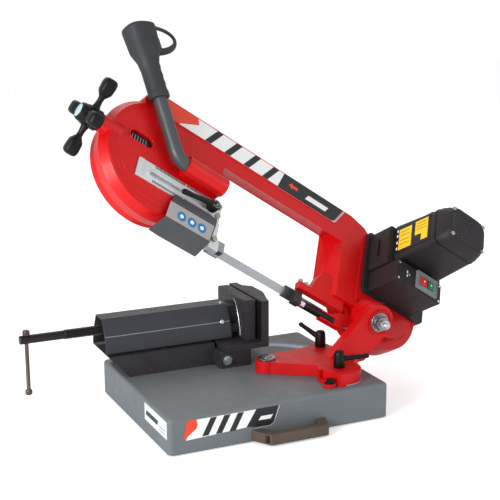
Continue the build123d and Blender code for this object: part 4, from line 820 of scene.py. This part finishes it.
def scale_band(name, inner, outer, look, layer):
    """A printed arc on the base's top, round the swivel pin."""
    low = BASE_TOP + layer * SCALE_FILM
    end = SCALE_START + SCALE_DEGREES
    lines = [arc(SWIVEL, radius, SCALE_START, end, SCALE_DEGREES) for radius in (inner, outer)]
    build(name, [strip(*lines, low, low + SCALE_FILM)], WORLD, "base", "base_paint", look)


scale_band("angle_scale_band", 129, 153, VINYL_PALE, 0)
scale_band("angle_scale_line", SCALE_OUTER, 151.5, VINYL_NAVY, 1)
scale_band("angle_scale_inner", 131, 132.2, VINYL_NAVY, 1)
marks = []
for k in range(SCALE_DEGREES + 1):
    turn = radians(SCALE_START + k)
    reach = 9 if k % 5 == 0 else 5
    outward, side = Vector((cos(turn), sin(turn))), Vector((-sin(turn), cos(turn))) * 0.35
    inner, outer = (Vector(SWIVEL) + outward * radius for radius in (SCALE_OUTER - reach, SCALE_OUTER))
    marks.append(prism([inner - side, outer - side, outer + side, inner + side],
                       BASE_TOP + SCALE_FILM, BASE_TOP + 2 * SCALE_FILM))
build("angle_scale_marks", marks, WORLD, "base", "base_paint", VINYL_NAVY)

# ---------------------------------------------------------------- floor, light and camera
bpy.ops.mesh.primitive_plane_add(size=14, location=(0, 0, -0.0005))
floor = bpy.context.object
floor.name = "floor"
pale = surface("pale_floor", (252, 252, 253), 0.85, mottle=0.004, size=2)
floor.data.materials.append(pale)
floor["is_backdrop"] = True


def camera_only(tree, dim, bright, socket):
    """Gives a strength one value for the light it throws and a brighter one for what the camera sees."""
    path = tree.nodes.new("ShaderNodeLightPath")
    strength = tree.nodes.new("ShaderNodeMapRange")
    strength.inputs["To Min"].default_value = dim
    strength.inputs["To Max"].default_value = bright
    tree.links.new(path.outputs["Is Camera Ray"], strength.inputs["Value"])
    tree.links.new(strength.outputs["Result"], socket)


glow = pale.node_tree.nodes["Principled BSDF"]
glow.inputs["Emission Color"].default_value = (1.0, 1.0, 1.0, 1)
camera_only(pale.node_tree, 0.0, 0.4, glow.inputs["Emission Strength"])
world = bpy.data.worlds.new("studio")
bpy.context.scene.world = world
world.use_nodes = True
sky = world.node_tree.nodes["Background"]
sky.inputs["Color"].default_value = (1.0, 1.0, 1.0, 1)
camera_only(world.node_tree, 0.6, 1.05, sky.inputs["Strength"])


def soft_light(name, location, size, power, target=(0.0, 0.0, 0.25)):
    """A square area light that faces the object, in metres and watts."""
    lamp = bpy.data.lights.new(name, "AREA")
    lamp.size, lamp.energy = size, power
    lamp_object = bpy.data.objects.new(name, lamp)
    lamp_object.location = location
    lamp_object.rotation_euler = (Vector(target) - Vector(location)).to_track_quat("-Z", "Y").to_euler()
    bpy.context.scene.collection.objects.link(lamp_object)


soft_light("key", (-2.3, -1.2, 1.1), 1.2, 58)
soft_light("fill", (1.9, -1.6, 0.9), 1.8, 12)
soft_light("back", (0.6, 1.8, 2.2), 1.6, 12)

YAW, PITCH, ROLL = radians(24.946), radians(12.984), radians(-0.23)
lens = bpy.data.cameras.new("camera")
lens.sensor_width = 36
lens.lens = 82.03
camera = bpy.data.objects.new("camera", lens)
camera.matrix_world = (Matrix.Translation((-0.73298, -1.61259, 0.66882)) @ Matrix.Rotation(-YAW, 4, "Z")
                       @ Matrix.Rotation(pi / 2 - PITCH, 4, "X") @ Matrix.Rotation(ROLL, 4, "Z"))
bpy.context.scene.collection.objects.link(camera)
bpy.context.scene.camera = camera
bpy.context.scene.view_settings.view_transform = "Standard"

SHOWN_BOX = [list(corner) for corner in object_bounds()]
[[float(v) for corner in box for v in corner] for box in (CAD_BOX, SHOWN_BOX)]
